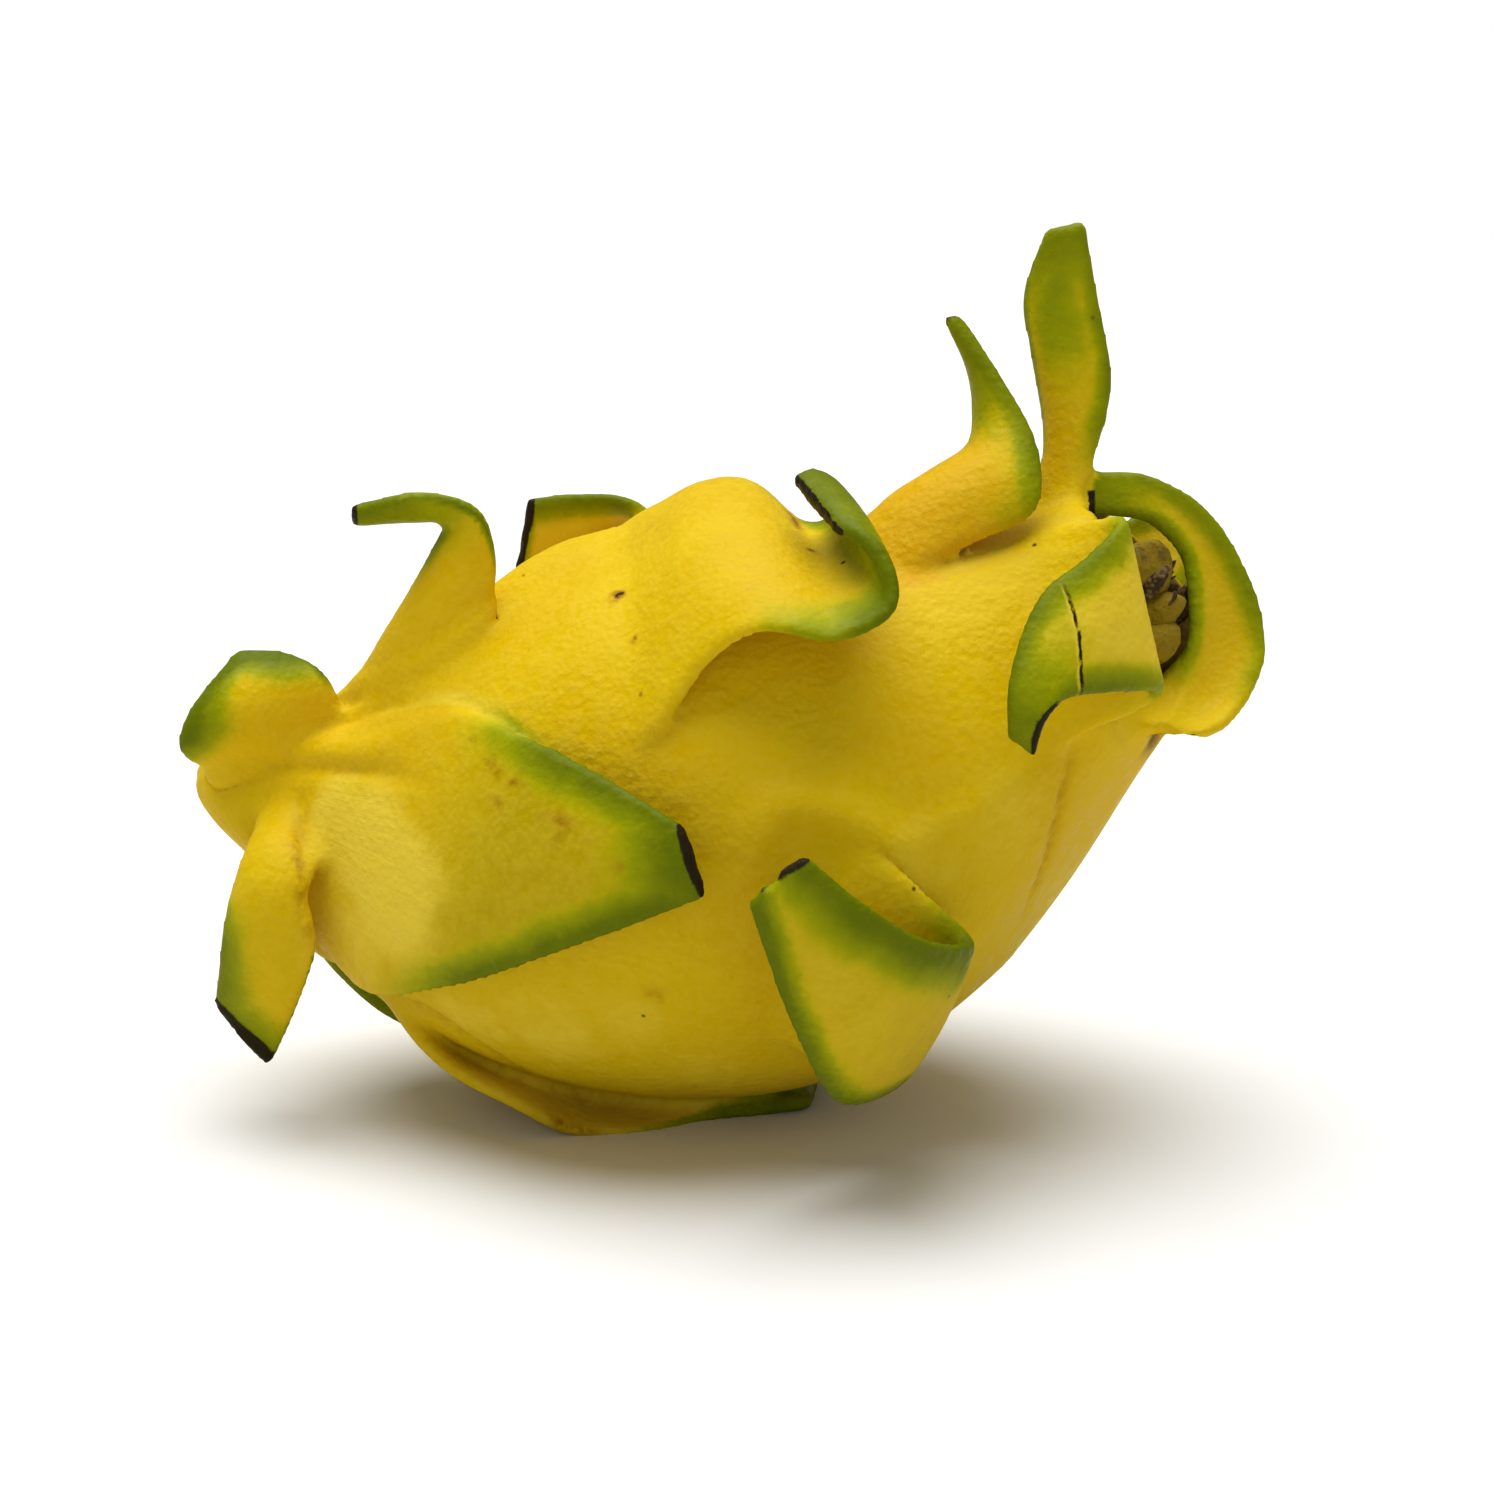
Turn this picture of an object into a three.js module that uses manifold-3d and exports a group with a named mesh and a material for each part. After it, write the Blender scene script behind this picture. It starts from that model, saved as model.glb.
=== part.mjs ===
import * as THREE from 'three';
import { mergeVertices } from 'three/addons/utils/BufferGeometryUtils.js';
import Module from 'manifold-3d';

// A yellow dragon fruit lying on its side, stem scar towards -X and crown towards +X.
// Millimetres, +Z up, origin at the bottom centre of the whole fruit.
//
// A place on the fruit is [along, around, lift]:
//   along   0 at the stem scar, 1 at the crown rim, past 1 straight on beyond the rim
//   around  degrees round the centre line: 0 top, 90 near side (-Y), 180 underside, -90 far side
//   lift    millimetres off the skin

// Body
const bodyLength = 146;      // size of the centre line's curve
const bellyRadius = 40.5;    // greatest radius of the body
const stemRadius = 6;        // round scar at the stem end
const crownRadius = 14.5;    // outside of the crown rim
const crownTurn = -7;        // degrees that the crown end turns towards -Y
const restingCut = 1.2;      // depth of the flat spot the fruit lies on

// Crown hollow and the dried flower in it
const rimThickness = 3.2;
const hollowDepth = 15;
const hollowTaper = 1.5;     // how much narrower the floor is than the mouth
const flowerClearance = 0.4; // between the dried flower and the hollow
const flowerHeight = 3;      // of its round base
const petalCount = 7;
const petalLength = 8;
const petalThickness = 0.9;

// Scales
const scaleThickness = 3.0;  // along the middle of a scale
const marginThickness = 1.5; // at its two side margins
const stepsBetween = 3;      // slices between two stations
const stepsAcross = 4;

// Fineness of the body
const bodySides = 30;
const bodyRings = 26;

// Centre line: a curve in an upright plane, as shares of bodyLength [forward, up]
const centreLine = [[0, 0], [0.318, -0.158], [0.682, -0.048], [0.918, 0.199]];

// Swelling of the body: [along, share of bellyRadius]
const swelling = [
  [0.06, 0.27], [0.14, 0.48], [0.24, 0.72], [0.36, 0.91], [0.47, 1], [0.58, 1],
  [0.68, 0.9], [0.78, 0.72], [0.88, 0.53], [0.95, 0.42],
];

// Scales, root to tip: [place on the first margin, place on the second margin, bulge].
// Bulge is how far the middle stands out on the scale's outer side, in millimetres.
const scales = {
  nearStem: [
    [[0.12, 61, -4], [0.15, 122, -4], 3], [[0.25, 44, 0], [0.2, 132, 3.5], 4],
    [[0.385, 59, 2.5], [0.29, 111, 5], 2], [[0.48, 70, 4], [0.41, 97, 6], 1],
    [[0.54, 80, 6], [0.54, 91, 7], 0],
  ],
  topMiddle: [
    [[0.33, 5, -4], [0.45, 72, -4], 3], [[0.49, -6, 1.5], [0.53, 64, 1], 4],
    [[0.6, -4, 5], [0.61, 56, 6], 4], [[0.66, -3, 6], [0.68, 56, 12], 2],
    [[0.72, 3, 5], [0.75, 62, 15], 1], [[0.78, 16, 8], [0.81, 61, 17], 0],
    [[0.795, 21, 12], [0.825, 55, 19], 0], [[0.77, 21, 15], [0.815, 50, 18], 0],
  ],
  farMiddle: [
    [[0.33, -28, -4], [0.38, -64, -4], 3], [[0.43, -25, 2], [0.46, -56, 4], 2],
    [[0.475, -22, 6], [0.49, -50, 9], 0], [[0.44, -22, 9], [0.44, -44, 11], 0],
    [[0.36, -24, 14], [0.34, -38, 10], 0], [[0.26, -27, 19], [0.24, -34, 11], 0],
  ],
  hook: [
    [[0.09, 2, -4], [0.28, 36, -4], 2], [[0.15, 13, 9], [0.302, 19, 3], 3],
    [[0.19, 11, 15.5], [0.302, 15, 9], 2], [[0.215, 9, 20], [0.275, 14, 17], 1],
    [[0.14, 10, 26], [0.165, 15, 28.5], 1], [[0.055, 12, 32], [0.06, 16, 34], 0],
  ],
  stemTop: [
    [[0.03, 100, -2], [0.13, 29, -3], 2], [[-0.02, 81, 7.5], [0.085, 21, 7], 3],
    [[-0.015, 24, 12.5], [0.045, 14, 9], 1],
  ],
  pendant: [
    [[0.16, 92, -3], [0.07, 96, -3], 2], [[0.155, 104, 5], [0.085, 108, 8.5], 2],
    [[0.17, 116, 6.5], [0.088, 121, 13], 2], [[0.165, 129, 12], [0.1, 135, 20], 1],
    [[0.155, 138, 18.5], [0.135, 141, 22], 0],
  ],
  nearCrownEnd: [
    [[0.63, 84, -4], [0.52, 112, -4], 2], [[0.69, 102, 2], [0.56, 135, 1.5], 3],
    [[0.72, 119, 8], [0.6, 146, 5], 0], [[0.7, 108, 14.5], [0.585, 130, 12], -2],
    [[0.675, 97, 17], [0.585, 110, 15], -1], [[0.65, 88, 17], [0.59, 90, 15], 0],
  ],
  underneath: [
    [[0.18, 142, -4], [0.2, 200, -4], 2], [[0.27, 144, 4], [0.27, 204, 3], 2],
    [[0.33, 146, 5.5], [0.33, 205, 4], 1], [[0.37, 153, 6.5], [0.37, 204, 5], 0],
    [[0.42, 158, 4.5], [0.42, 202, 4], 0], [[0.46, 165, 2.8], [0.46, 198, 3], 0],
    [[0.53, 172, 3], [0.53, 188, 3], 0],
  ],
  crownFront: [
    [[0.86, 5, -4], [0.8, 104, -4], 2], [[0.97, 32, 0.5], [0.87, 111, 2], 3],
    [[1.02, 59, 5], [0.94, 115, 7], 1], [[0.975, 68, 12], [0.91, 97, 12], -1],
    [[0.925, 70, 14], [0.885, 91, 15.5], 0], [[0.86, 81, 14.5], [0.86, 92, 16], 0],
    [[0.83, 90, 13.5], [0.84, 96, 14], 0],
  ],
  crownRight: [
    [[0.88, 118, -3], [0.9, 178, -3], 1], [[0.935, 136, 6.5], [0.95, 182, -1.5], 2],
    [[1.0, 143, 9.5], [0.985, 190, -1.5], 2], [[1.038, 142, 5], [1.02, 200, -4], 1],
    [[1.06, 130, -3.5], [1.025, 205, -9], 0], [[1.07, 30, -11.5], [1.03, 60, -9], 0],
    [[1.055, -12, -6], [1.02, 46, -4], 0], [[1.015, -4, 0], [0.99, 36, 1.5], 0],
  ],
  crownTall: [
    [[0.9, -22, -4], [0.96, 8, -4], 1], [[1.0, -17, 7.5], [1.03, -6, 1.5], 1.5],
    [[1.055, -14, 18], [1.085, -12, 8.5], 2], [[1.09, -12, 25], [1.135, -10, 16.5], 1],
    [[1.15, -9, 29], [1.18, -7, 26], 0],
  ],
  crownPointed: [
    [[0.78, -14, -4], [0.8, 28, -4], 2], [[0.89, -3, 9.5], [0.88, 26, 3], 4],
    [[0.95, -7, 12], [0.96, 22, 3.5], 4], [[0.99, -9, 19], [1.005, 8, 9], 2],
    [[1.02, -8, 25], [1.025, -1, 19], 1], [[1.032, -5, 29], [1.034, -3, 27.5], 0],
  ],
  farStem: [
    [[0.14, -120, -4], [0.12, -66, -4], 3], [[0.24, -128, 3], [0.25, -62, 3], 4],
    [[0.34, -118, 4], [0.37, -72, 4], 3], [[0.42, -108, 7], [0.44, -84, 8], 0],
    [[0.43, -103, 11], [0.44, -90, 12], 0],
  ],
  farSide: [
    [[0.42, -118, -4], [0.42, -70, -4], 3], [[0.54, -124, 3], [0.55, -72, 3], 4],
    [[0.64, -116, 4], [0.66, -82, 5], 2], [[0.71, -108, 8], [0.72, -90, 9], 0],
    [[0.7, -104, 12], [0.71, -94, 13], 0],
  ],
  farCrownEnd: [
    [[0.64, -80, -4], [0.64, -34, -4], 2], [[0.75, -84, 3], [0.76, -36, 3], 4],
    [[0.83, -78, 6], [0.85, -44, 6], 2], [[0.89, -70, 11], [0.91, -54, 11], 0],
    [[0.9, -66, 15], [0.91, -58, 15], 0],
  ],
  farUnder: [
    [[0.24, -166, -4], [0.22, -132, -4], 2], [[0.36, -158, 3], [0.35, -122, 3], 3],
    [[0.46, -148, 4], [0.46, -122, 5], 2], [[0.54, -138, 6], [0.54, -126, 7], 0],
  ],
  underCrownEnd: [
    [[0.56, 204, -4], [0.56, 244, -4], 2], [[0.67, 204, 2], [0.67, 250, 3], 2],
    [[0.76, 210, 3], [0.76, 246, 4], 2], [[0.84, 218, 4], [0.84, 232, 5], 0],
  ],
  stemUnder: [
    [[0.05, 150, -3], [0.05, 212, -3], 2], [[0.13, 156, 4], [0.12, 206, 4], 2],
    [[0.2, 160, 5], [0.2, 194, 5], 0], [[0.235, 170, 4.5], [0.235, 186, 4.5], 0],
  ],
  crownFar: [
    [[0.82, -118, -4], [0.82, -68, -4], 2], [[0.92, -122, 3], [0.93, -66, 3], 3],
    [[0.99, -116, 6], [1.0, -74, 6], 2], [[1.03, -106, 10], [1.04, -84, 10], 0],
    [[1.03, -100, 14], [1.035, -90, 14], 0],
  ],
};

// Shape of the body

const turn = THREE.MathUtils.degToRad(crownTurn);
const forward = new THREE.Vector3(Math.cos(turn), Math.sin(turn), 0);
const nearSide = new THREE.Vector3(Math.sin(turn), -Math.cos(turn), 0);
const linePoints = centreLine.map(([ahead, up]) => new THREE.Vector3()
  .addScaledVector(forward, ahead * bodyLength)
  .setZ(up * bodyLength));
const bodyLine = new THREE.CubicBezierCurve3(...linePoints);

const outline = new THREE.SplineCurve([
  new THREE.Vector2(0, stemRadius),
  ...swelling.map(([along, share]) => new THREE.Vector2(along, share * bellyRadius)),
  new THREE.Vector2(1, crownRadius),
]).getPoints(bodyRings);

// Radius of the skin at a place along the body
function skinRadius(along) {
  const next = outline.findIndex((point) => point.x > along);
  if (next < 0) return crownRadius;
  if (next === 0) return stemRadius;
  const [low, high] = [outline[next - 1], outline[next]];
  return THREE.MathUtils.mapLinear(along, low.x, high.x, low.y, high.y);
}

// Point at a distance from the centre line
function fruitPoint(along, around, radius) {
  const within = THREE.MathUtils.clamp(along, 0, 1);
  const ahead = bodyLine.getTangent(within);
  const upright = new THREE.Vector3().crossVectors(ahead, nearSide).negate();
  const angle = THREE.MathUtils.degToRad(around);
  return bodyLine.getPoint(within)
    .addScaledVector(ahead, (along - within) * bodyLength)
    .addScaledVector(upright, Math.cos(angle) * radius)
    .addScaledVector(nearSide, Math.sin(angle) * radius);
}

function placeOnFruit([along, around, lift]) {
  return fruitPoint(along, around, skinRadius(along) + lift);
}

// Moves a turned shape, made round the Y axis, onto the body's centre line
function bendOntoLine(geometry) {
  const position = geometry.attributes.position;
  for (let i = 0; i < position.count; i += 1) {
    const radius = Math.hypot(position.getX(i), position.getZ(i));
    const around = THREE.MathUtils.radToDeg(Math.atan2(-position.getZ(i), position.getX(i)));
    const point = fruitPoint(position.getY(i) / bodyLength, around, radius);
    position.setXYZ(i, point.x, point.y, point.z);
  }
  return geometry;
}

const hollowRadius = crownRadius - rimThickness;
const floorRadius = hollowRadius - hollowTaper;

function bodyGeometry() {
  const profile = [
    new THREE.Vector2(0, 0),
    ...outline.map((point) => new THREE.Vector2(point.y, point.x * bodyLength)),
    new THREE.Vector2(hollowRadius, bodyLength),
    new THREE.Vector2(floorRadius, bodyLength - hollowDepth),
    new THREE.Vector2(0, bodyLength - hollowDepth),
  ];
  return bendOntoLine(new THREE.LatheGeometry(profile, bodySides));
}

// One scale: a slab bent between its two margins, thick in the middle and thin at the edges
function scaleGeometry(stations) {
  const firstMargin = new THREE.CatmullRomCurve3(stations.map(([place]) => placeOnFruit(place)));
  const secondMargin = new THREE.CatmullRomCurve3(stations.map(([, place]) => placeOnFruit(place)));
  const bulges = new THREE.SplineCurve(stations.map(([, , bulge], i) => new THREE.Vector2(i, bulge)));
  const slices = (stations.length - 1) * stepsBetween;
  const geometry = new THREE.BoxGeometry(1, 1, 1, stepsAcross, 1, slices);
  const position = geometry.attributes.position;
  for (let i = 0; i < position.count; i += 1) {
    const across = position.getX(i) + 0.5;
    const slice = THREE.MathUtils.clamp(position.getZ(i) + 0.5, 0, 1);
    const first = firstMargin.getPoint(slice);
    const second = secondMargin.getPoint(slice);
    const ahead = firstMargin.getTangent(slice).add(secondMargin.getTangent(slice));
    const width = second.clone().sub(first);
    const outward = new THREE.Vector3().crossVectors(width, ahead).normalize();
    const middle = 1 - (2 * across - 1) ** 2;
    const thickness = THREE.MathUtils.lerp(marginThickness, scaleThickness, middle);
    const bulge = bulges.getPoint(slice).y * middle;
    const point = first.addScaledVector(width, across)
      .addScaledVector(outward, bulge - position.getY(i) * thickness);
    position.setXYZ(i, point.x, point.y, point.z);
  }
  return geometry;
}

// The dried flower: a round base on the hollow's floor with a ring of curled remnants
const flowerRadius = floorRadius - flowerClearance;
const flowerFloor = bodyLength - hollowDepth + flowerClearance;

function flowerBase() {
  const profile = [
    new THREE.Vector2(0, flowerFloor),
    new THREE.Vector2(flowerRadius, flowerFloor),
    new THREE.Vector2(flowerRadius * 0.85, flowerFloor + flowerHeight),
    new THREE.Vector2(0, flowerFloor + flowerHeight),
  ];
  return bendOntoLine(new THREE.LatheGeometry(profile, bodySides));
}

function petalGeometry(index) {
  const around = (index / petalCount) * Math.PI * 2;
  const length = petalLength * (1 - 0.3 * (index % 2));
  const width = (flowerRadius * Math.PI) / petalCount;
  const petal = new THREE.BoxGeometry(petalThickness, length, width, 1, 3, 1);
  const position = petal.attributes.position;
  for (let i = 0; i < position.count; i += 1) {
    const height = position.getY(i) / length + 0.5;
    position.setX(i, position.getX(i) - 2 * height * height);
    position.setZ(i, position.getZ(i) * (1 - 0.6 * height));
  }
  petal.translate(flowerRadius * 0.8, flowerFloor + flowerHeight + length / 2 - 1, 0);
  petal.rotateY(around);
  return bendOntoLine(petal);
}

// Joining and cutting

const wasm = await Module();
wasm.setup();

function solidFrom(geometry) {
  const bare = geometry.clone();
  bare.deleteAttribute('normal');
  bare.deleteAttribute('uv');
  const merged = mergeVertices(bare, 1e-4);
  const solid = new wasm.Manifold(new wasm.Mesh({
    numProp: 3,
    vertProperties: merged.attributes.position.array,
    triVerts: merged.index.array,
  }));
  return solid;
}

function geometryFrom(solid) {
  const mesh = solid.getMesh();
  const geometry = new THREE.BufferGeometry();
  geometry.setAttribute('position', new THREE.BufferAttribute(mesh.vertProperties, 3));
  geometry.setIndex(new THREE.BufferAttribute(mesh.triVerts, 1));
  geometry.computeVertexNormals();
  return geometry;
}

function joined(solids) {
  return solids.reduce((whole, solid) => whole.add(solid));
}

function fruitSolid() {
  const body = solidFrom(bodyGeometry());
  const whole = joined([body, ...Object.values(scales).map((stations) => solidFrom(scaleGeometry(stations)))]);
  const lowest = whole.boundingBox().min[2];
  const block = new THREE.BoxGeometry(4 * bodyLength, 4 * bodyLength, bodyLength);
  block.translate(0, 0, lowest + restingCut - bodyLength / 2);
  return whole.subtract(solidFrom(block));
}

function flowerSolid() {
  const petals = Array.from({ length: petalCount }, (_, index) => solidFrom(petalGeometry(index)));
  return joined([solidFrom(flowerBase()), ...petals]);
}

// The part

function pieceMesh(name, solid, material) {
  const mesh = new THREE.Mesh(geometryFrom(solid), material);
  mesh.name = name;
  return mesh;
}

const skin = new THREE.MeshStandardMaterial({ color: '#d9b400', roughness: 0.5, metalness: 0 });
const driedPetal = new THREE.MeshStandardMaterial({ color: '#4a2f16', roughness: 0.9, metalness: 0 });

const fruit = pieceMesh('fruit', fruitSolid(), skin);
const driedFlower = pieceMesh('dried_flower', flowerSolid(), driedPetal);

const part = new THREE.Group();
part.add(fruit, driedFlower);

const box = new THREE.Box3().setFromObject(part);
const centre = box.getCenter(new THREE.Vector3());
for (const piece of part.children) {
  piece.geometry.translate(-centre.x, -centre.y, -box.min.z);
}

export default part;
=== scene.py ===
import math

import bpy
import numpy as np
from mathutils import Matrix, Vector, kdtree, noise


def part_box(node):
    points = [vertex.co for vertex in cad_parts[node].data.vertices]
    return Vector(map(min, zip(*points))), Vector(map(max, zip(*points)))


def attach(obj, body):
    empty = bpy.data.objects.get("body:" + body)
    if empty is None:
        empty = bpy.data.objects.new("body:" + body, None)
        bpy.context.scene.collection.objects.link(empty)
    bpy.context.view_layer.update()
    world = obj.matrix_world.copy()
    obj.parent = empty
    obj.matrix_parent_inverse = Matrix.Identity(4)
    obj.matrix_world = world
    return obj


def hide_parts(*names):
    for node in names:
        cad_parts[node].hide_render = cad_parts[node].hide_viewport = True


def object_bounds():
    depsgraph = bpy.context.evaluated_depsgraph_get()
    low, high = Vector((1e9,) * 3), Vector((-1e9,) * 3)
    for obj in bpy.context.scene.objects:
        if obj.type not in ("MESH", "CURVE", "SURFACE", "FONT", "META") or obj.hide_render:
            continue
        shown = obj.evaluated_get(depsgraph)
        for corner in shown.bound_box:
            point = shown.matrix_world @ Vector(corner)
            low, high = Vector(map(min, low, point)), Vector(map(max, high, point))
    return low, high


# A yellow dragon fruit lying on its side, stem scar towards -X and crown towards +X.
# A place on the fruit is (along, around, lift):
#   along   0 at the stem scar, 1 at the crown rim, past 1 straight on beyond the rim
#   around  degrees round the centre line: 0 top, 90 near side (-Y), 180 underside, -90 far side
#   lift    millimetres off the skin

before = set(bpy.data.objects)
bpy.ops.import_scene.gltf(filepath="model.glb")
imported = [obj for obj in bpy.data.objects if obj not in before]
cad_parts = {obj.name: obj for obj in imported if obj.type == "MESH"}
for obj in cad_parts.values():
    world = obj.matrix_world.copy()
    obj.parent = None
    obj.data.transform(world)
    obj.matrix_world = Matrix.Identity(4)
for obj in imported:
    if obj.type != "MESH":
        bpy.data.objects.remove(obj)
cadLow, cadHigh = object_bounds()
fruitLow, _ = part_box("fruit")
mm = 0.001


def deselectAll():
    if bpy.context.object and bpy.context.object.mode != "OBJECT":
        bpy.ops.object.mode_set(mode="OBJECT")
    bpy.ops.object.select_all(action="DESELECT")


def selectOnly(*pieces):
    deselectAll()
    for piece in pieces:
        piece.select_set(True)
    bpy.context.view_layer.objects.active = pieces[0]


def nameNewPiece(name):
    piece = bpy.context.object
    piece.name = name
    piece.data.name = name
    return piece


def applyTransform(piece):
    selectOnly(piece)
    bpy.ops.object.transform_apply(location=True, rotation=True, scale=True)


def applyModifier(piece, kind, **settings):
    selectOnly(piece)
    modifier = piece.modifiers.new(kind.title(), kind)
    for key, value in settings.items():
        setattr(modifier, key, value)
    bpy.ops.object.modifier_apply(modifier=modifier.name)


def faceOutwards(piece):
    selectOnly(piece)
    bpy.ops.object.mode_set(mode="EDIT")
    bpy.ops.mesh.select_all(action="SELECT")
    bpy.ops.mesh.normals_make_consistent(inside=False)
    bpy.ops.object.mode_set(mode="OBJECT")


def joinPieces(name, pieces):
    selectOnly(*pieces)
    bpy.ops.object.join()
    return nameNewPiece(name)


def readVertices(piece, what):
    values = np.empty(len(piece.data.vertices) * 3, np.float32)
    piece.data.vertices.foreach_get(what, values)
    return values.reshape(-1, 3).astype(float)


def moveVertices(piece, points):
    piece.data.vertices.foreach_set("co", points.astype(np.float32).ravel())
    piece.data.update()


def storeField(piece, name, values):
    field = piece.data.attributes.new(name, "FLOAT", "POINT")
    field.data.foreach_set("value", values.astype(np.float32))


def ease(values, low, high):
    share = np.clip((values - low) / (high - low), 0, 1)
    return share * share * (3 - 2 * share)


def unit(vectors):
    return vectors / np.maximum(np.linalg.norm(vectors, axis=-1, keepdims=True), 1e-12)


def nearestOf(points, targets):
    tree = kdtree.KDTree(len(targets))
    for index, target in enumerate(targets):
        tree.insert(target, index)
    tree.balance()
    return np.array([tree.find(point)[1] for point in points])


# Smooth curve through knots, read at shares of its length from 0 to 1
def throughKnots(knots, shares, evenness=0.25):
    knots = np.asarray(knots, float)
    spans = len(knots) - 1
    place = np.clip(shares, 0, 1) * spans
    index = np.minimum(place.astype(int), spans - 1)
    step = (place - index)[:, None]
    padded = np.vstack([2 * knots[0] - knots[1], knots, 2 * knots[-1] - knots[-2]])
    before, start, end, after = (padded[index + k] for k in range(4))
    gapIn, gap, gapOut = (
        np.maximum(((b - a) ** 2).sum(1, keepdims=True), 1e-12) ** evenness
        for a, b in ((before, start), (start, end), (end, after))
    )
    leave = ((start - before) / gapIn - (end - before) / (gapIn + gap)) * gap + end - start
    arrive = end - start + ((after - end) / gapOut - (after - start) / (gap + gapOut)) * gap
    bend = 3 * (end - start) - 2 * leave - arrive
    twist = 2 * (start - end) + leave + arrive
    return start + leave * step + bend * step**2 + twist * step**3


# Centre line and skin of the fruit

lineValues = {
    "start": (0.0034, 0.0668, 0.0500),  # stem scar, from the fruit's low corner
    "length": 0.146,
    "crownTurn": -7,  # degrees that the crown end turns towards -Y
    "curve": ((0, 0), (0.318, -0.158), (0.682, -0.048), (0.918, 0.199)),  # forward, up in lengths
    "bellyRadius": 0.0405,
    "stemRadius": 0.006,
    "crownRadius": 0.0145,
    "swelling": (  # along, share of the belly radius
        (0.06, 0.27), (0.14, 0.48), (0.24, 0.72), (0.36, 0.91), (0.47, 1), (0.58, 1),
        (0.68, 0.9), (0.78, 0.72), (0.88, 0.53), (0.95, 0.42),
    ),
    "outlineSteps": 120,
    "readings": (-0.1, 1.2, 521),  # first, last and number of places along the line that are compared
}

fruitLength = lineValues["length"]
lineStart = np.array(fruitLow) + lineValues["start"]
crownTurn = math.radians(lineValues["crownTurn"])
forwardWay = np.array([math.cos(crownTurn), math.sin(crownTurn), 0])
nearWay = np.array([math.sin(crownTurn), -math.cos(crownTurn), 0])
curveKnots = np.array(lineValues["curve"]) * fruitLength
outline = throughKnots(
    [(0, lineValues["stemRadius"])]
    + [(along, share * lineValues["bellyRadius"]) for along, share in lineValues["swelling"]]
    + [(1, lineValues["crownRadius"])],
    np.linspace(0, 1, lineValues["outlineSteps"]), evenness=0,
)


def skinRadius(along):
    return np.interp(along, outline[:, 0], outline[:, 1])


# Forward and up distances of the centre line, and its direction, in its own upright plane
def flatLine(along):
    t = np.clip(along, 0, 1)[..., None]
    a, b, c, d = curveKnots
    point = (1 - t) ** 3 * a + 3 * t * (1 - t) ** 2 * b + 3 * t**2 * (1 - t) * c + t**3 * d
    ahead = unit((1 - t) ** 2 * (b - a) + 2 * t * (1 - t) * (c - b) + t**2 * (d - c))
    return point + ahead * (along[..., None] - t) * fruitLength, ahead


def lineAt(along):
    point, ahead = flatLine(along)
    centre = lineStart + point[..., :1] * forwardWay + point[..., 1:] * np.array([0, 0, 1])
    aheadWay = ahead[..., :1] * forwardWay + ahead[..., 1:] * np.array([0, 0, 1])
    uprightWay = -ahead[..., 1:] * forwardWay + ahead[..., :1] * np.array([0, 0, 1])
    return centre, aheadWay, uprightWay


def placesOnFruit(places):
    along, around, lift = np.asarray(places, float).T
    centre, _, uprightWay = lineAt(along)
    angle = np.radians(around)[:, None]
    radius = (skinRadius(along) + lift * mm)[:, None]
    return centre + (uprightWay * np.cos(angle) + nearWay * np.sin(angle)) * radius


readings = np.linspace(*lineValues["readings"])
lineCentres, _, lineUpright = lineAt(readings)


def bodyPlace(points):
    nearest = nearestOf(points, lineCentres)
    offset = points - lineCentres[nearest]
    upright = (offset * lineUpright[nearest]).sum(1)
    sideways = offset @ nearWay
    lift = np.hypot(upright, sideways) - skinRadius(readings[nearest])
    return readings[nearest], np.degrees(np.arctan2(sideways, upright)), lift / mm


# Body

bodyValues = {
    "sides": 72,
    "rings": 40,
    "rimThickness": 0.0032,
    "hollowDepth": 0.015,
    "hollowSteps": 3,
    "hollowTaper": 0.0015,
    "tornFrom": (35, 75),  # degrees over which the torn part of the crown's wall starts, then ends
    "tornTo": (150, 180),
    "tornShare": 0.8,
}


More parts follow.
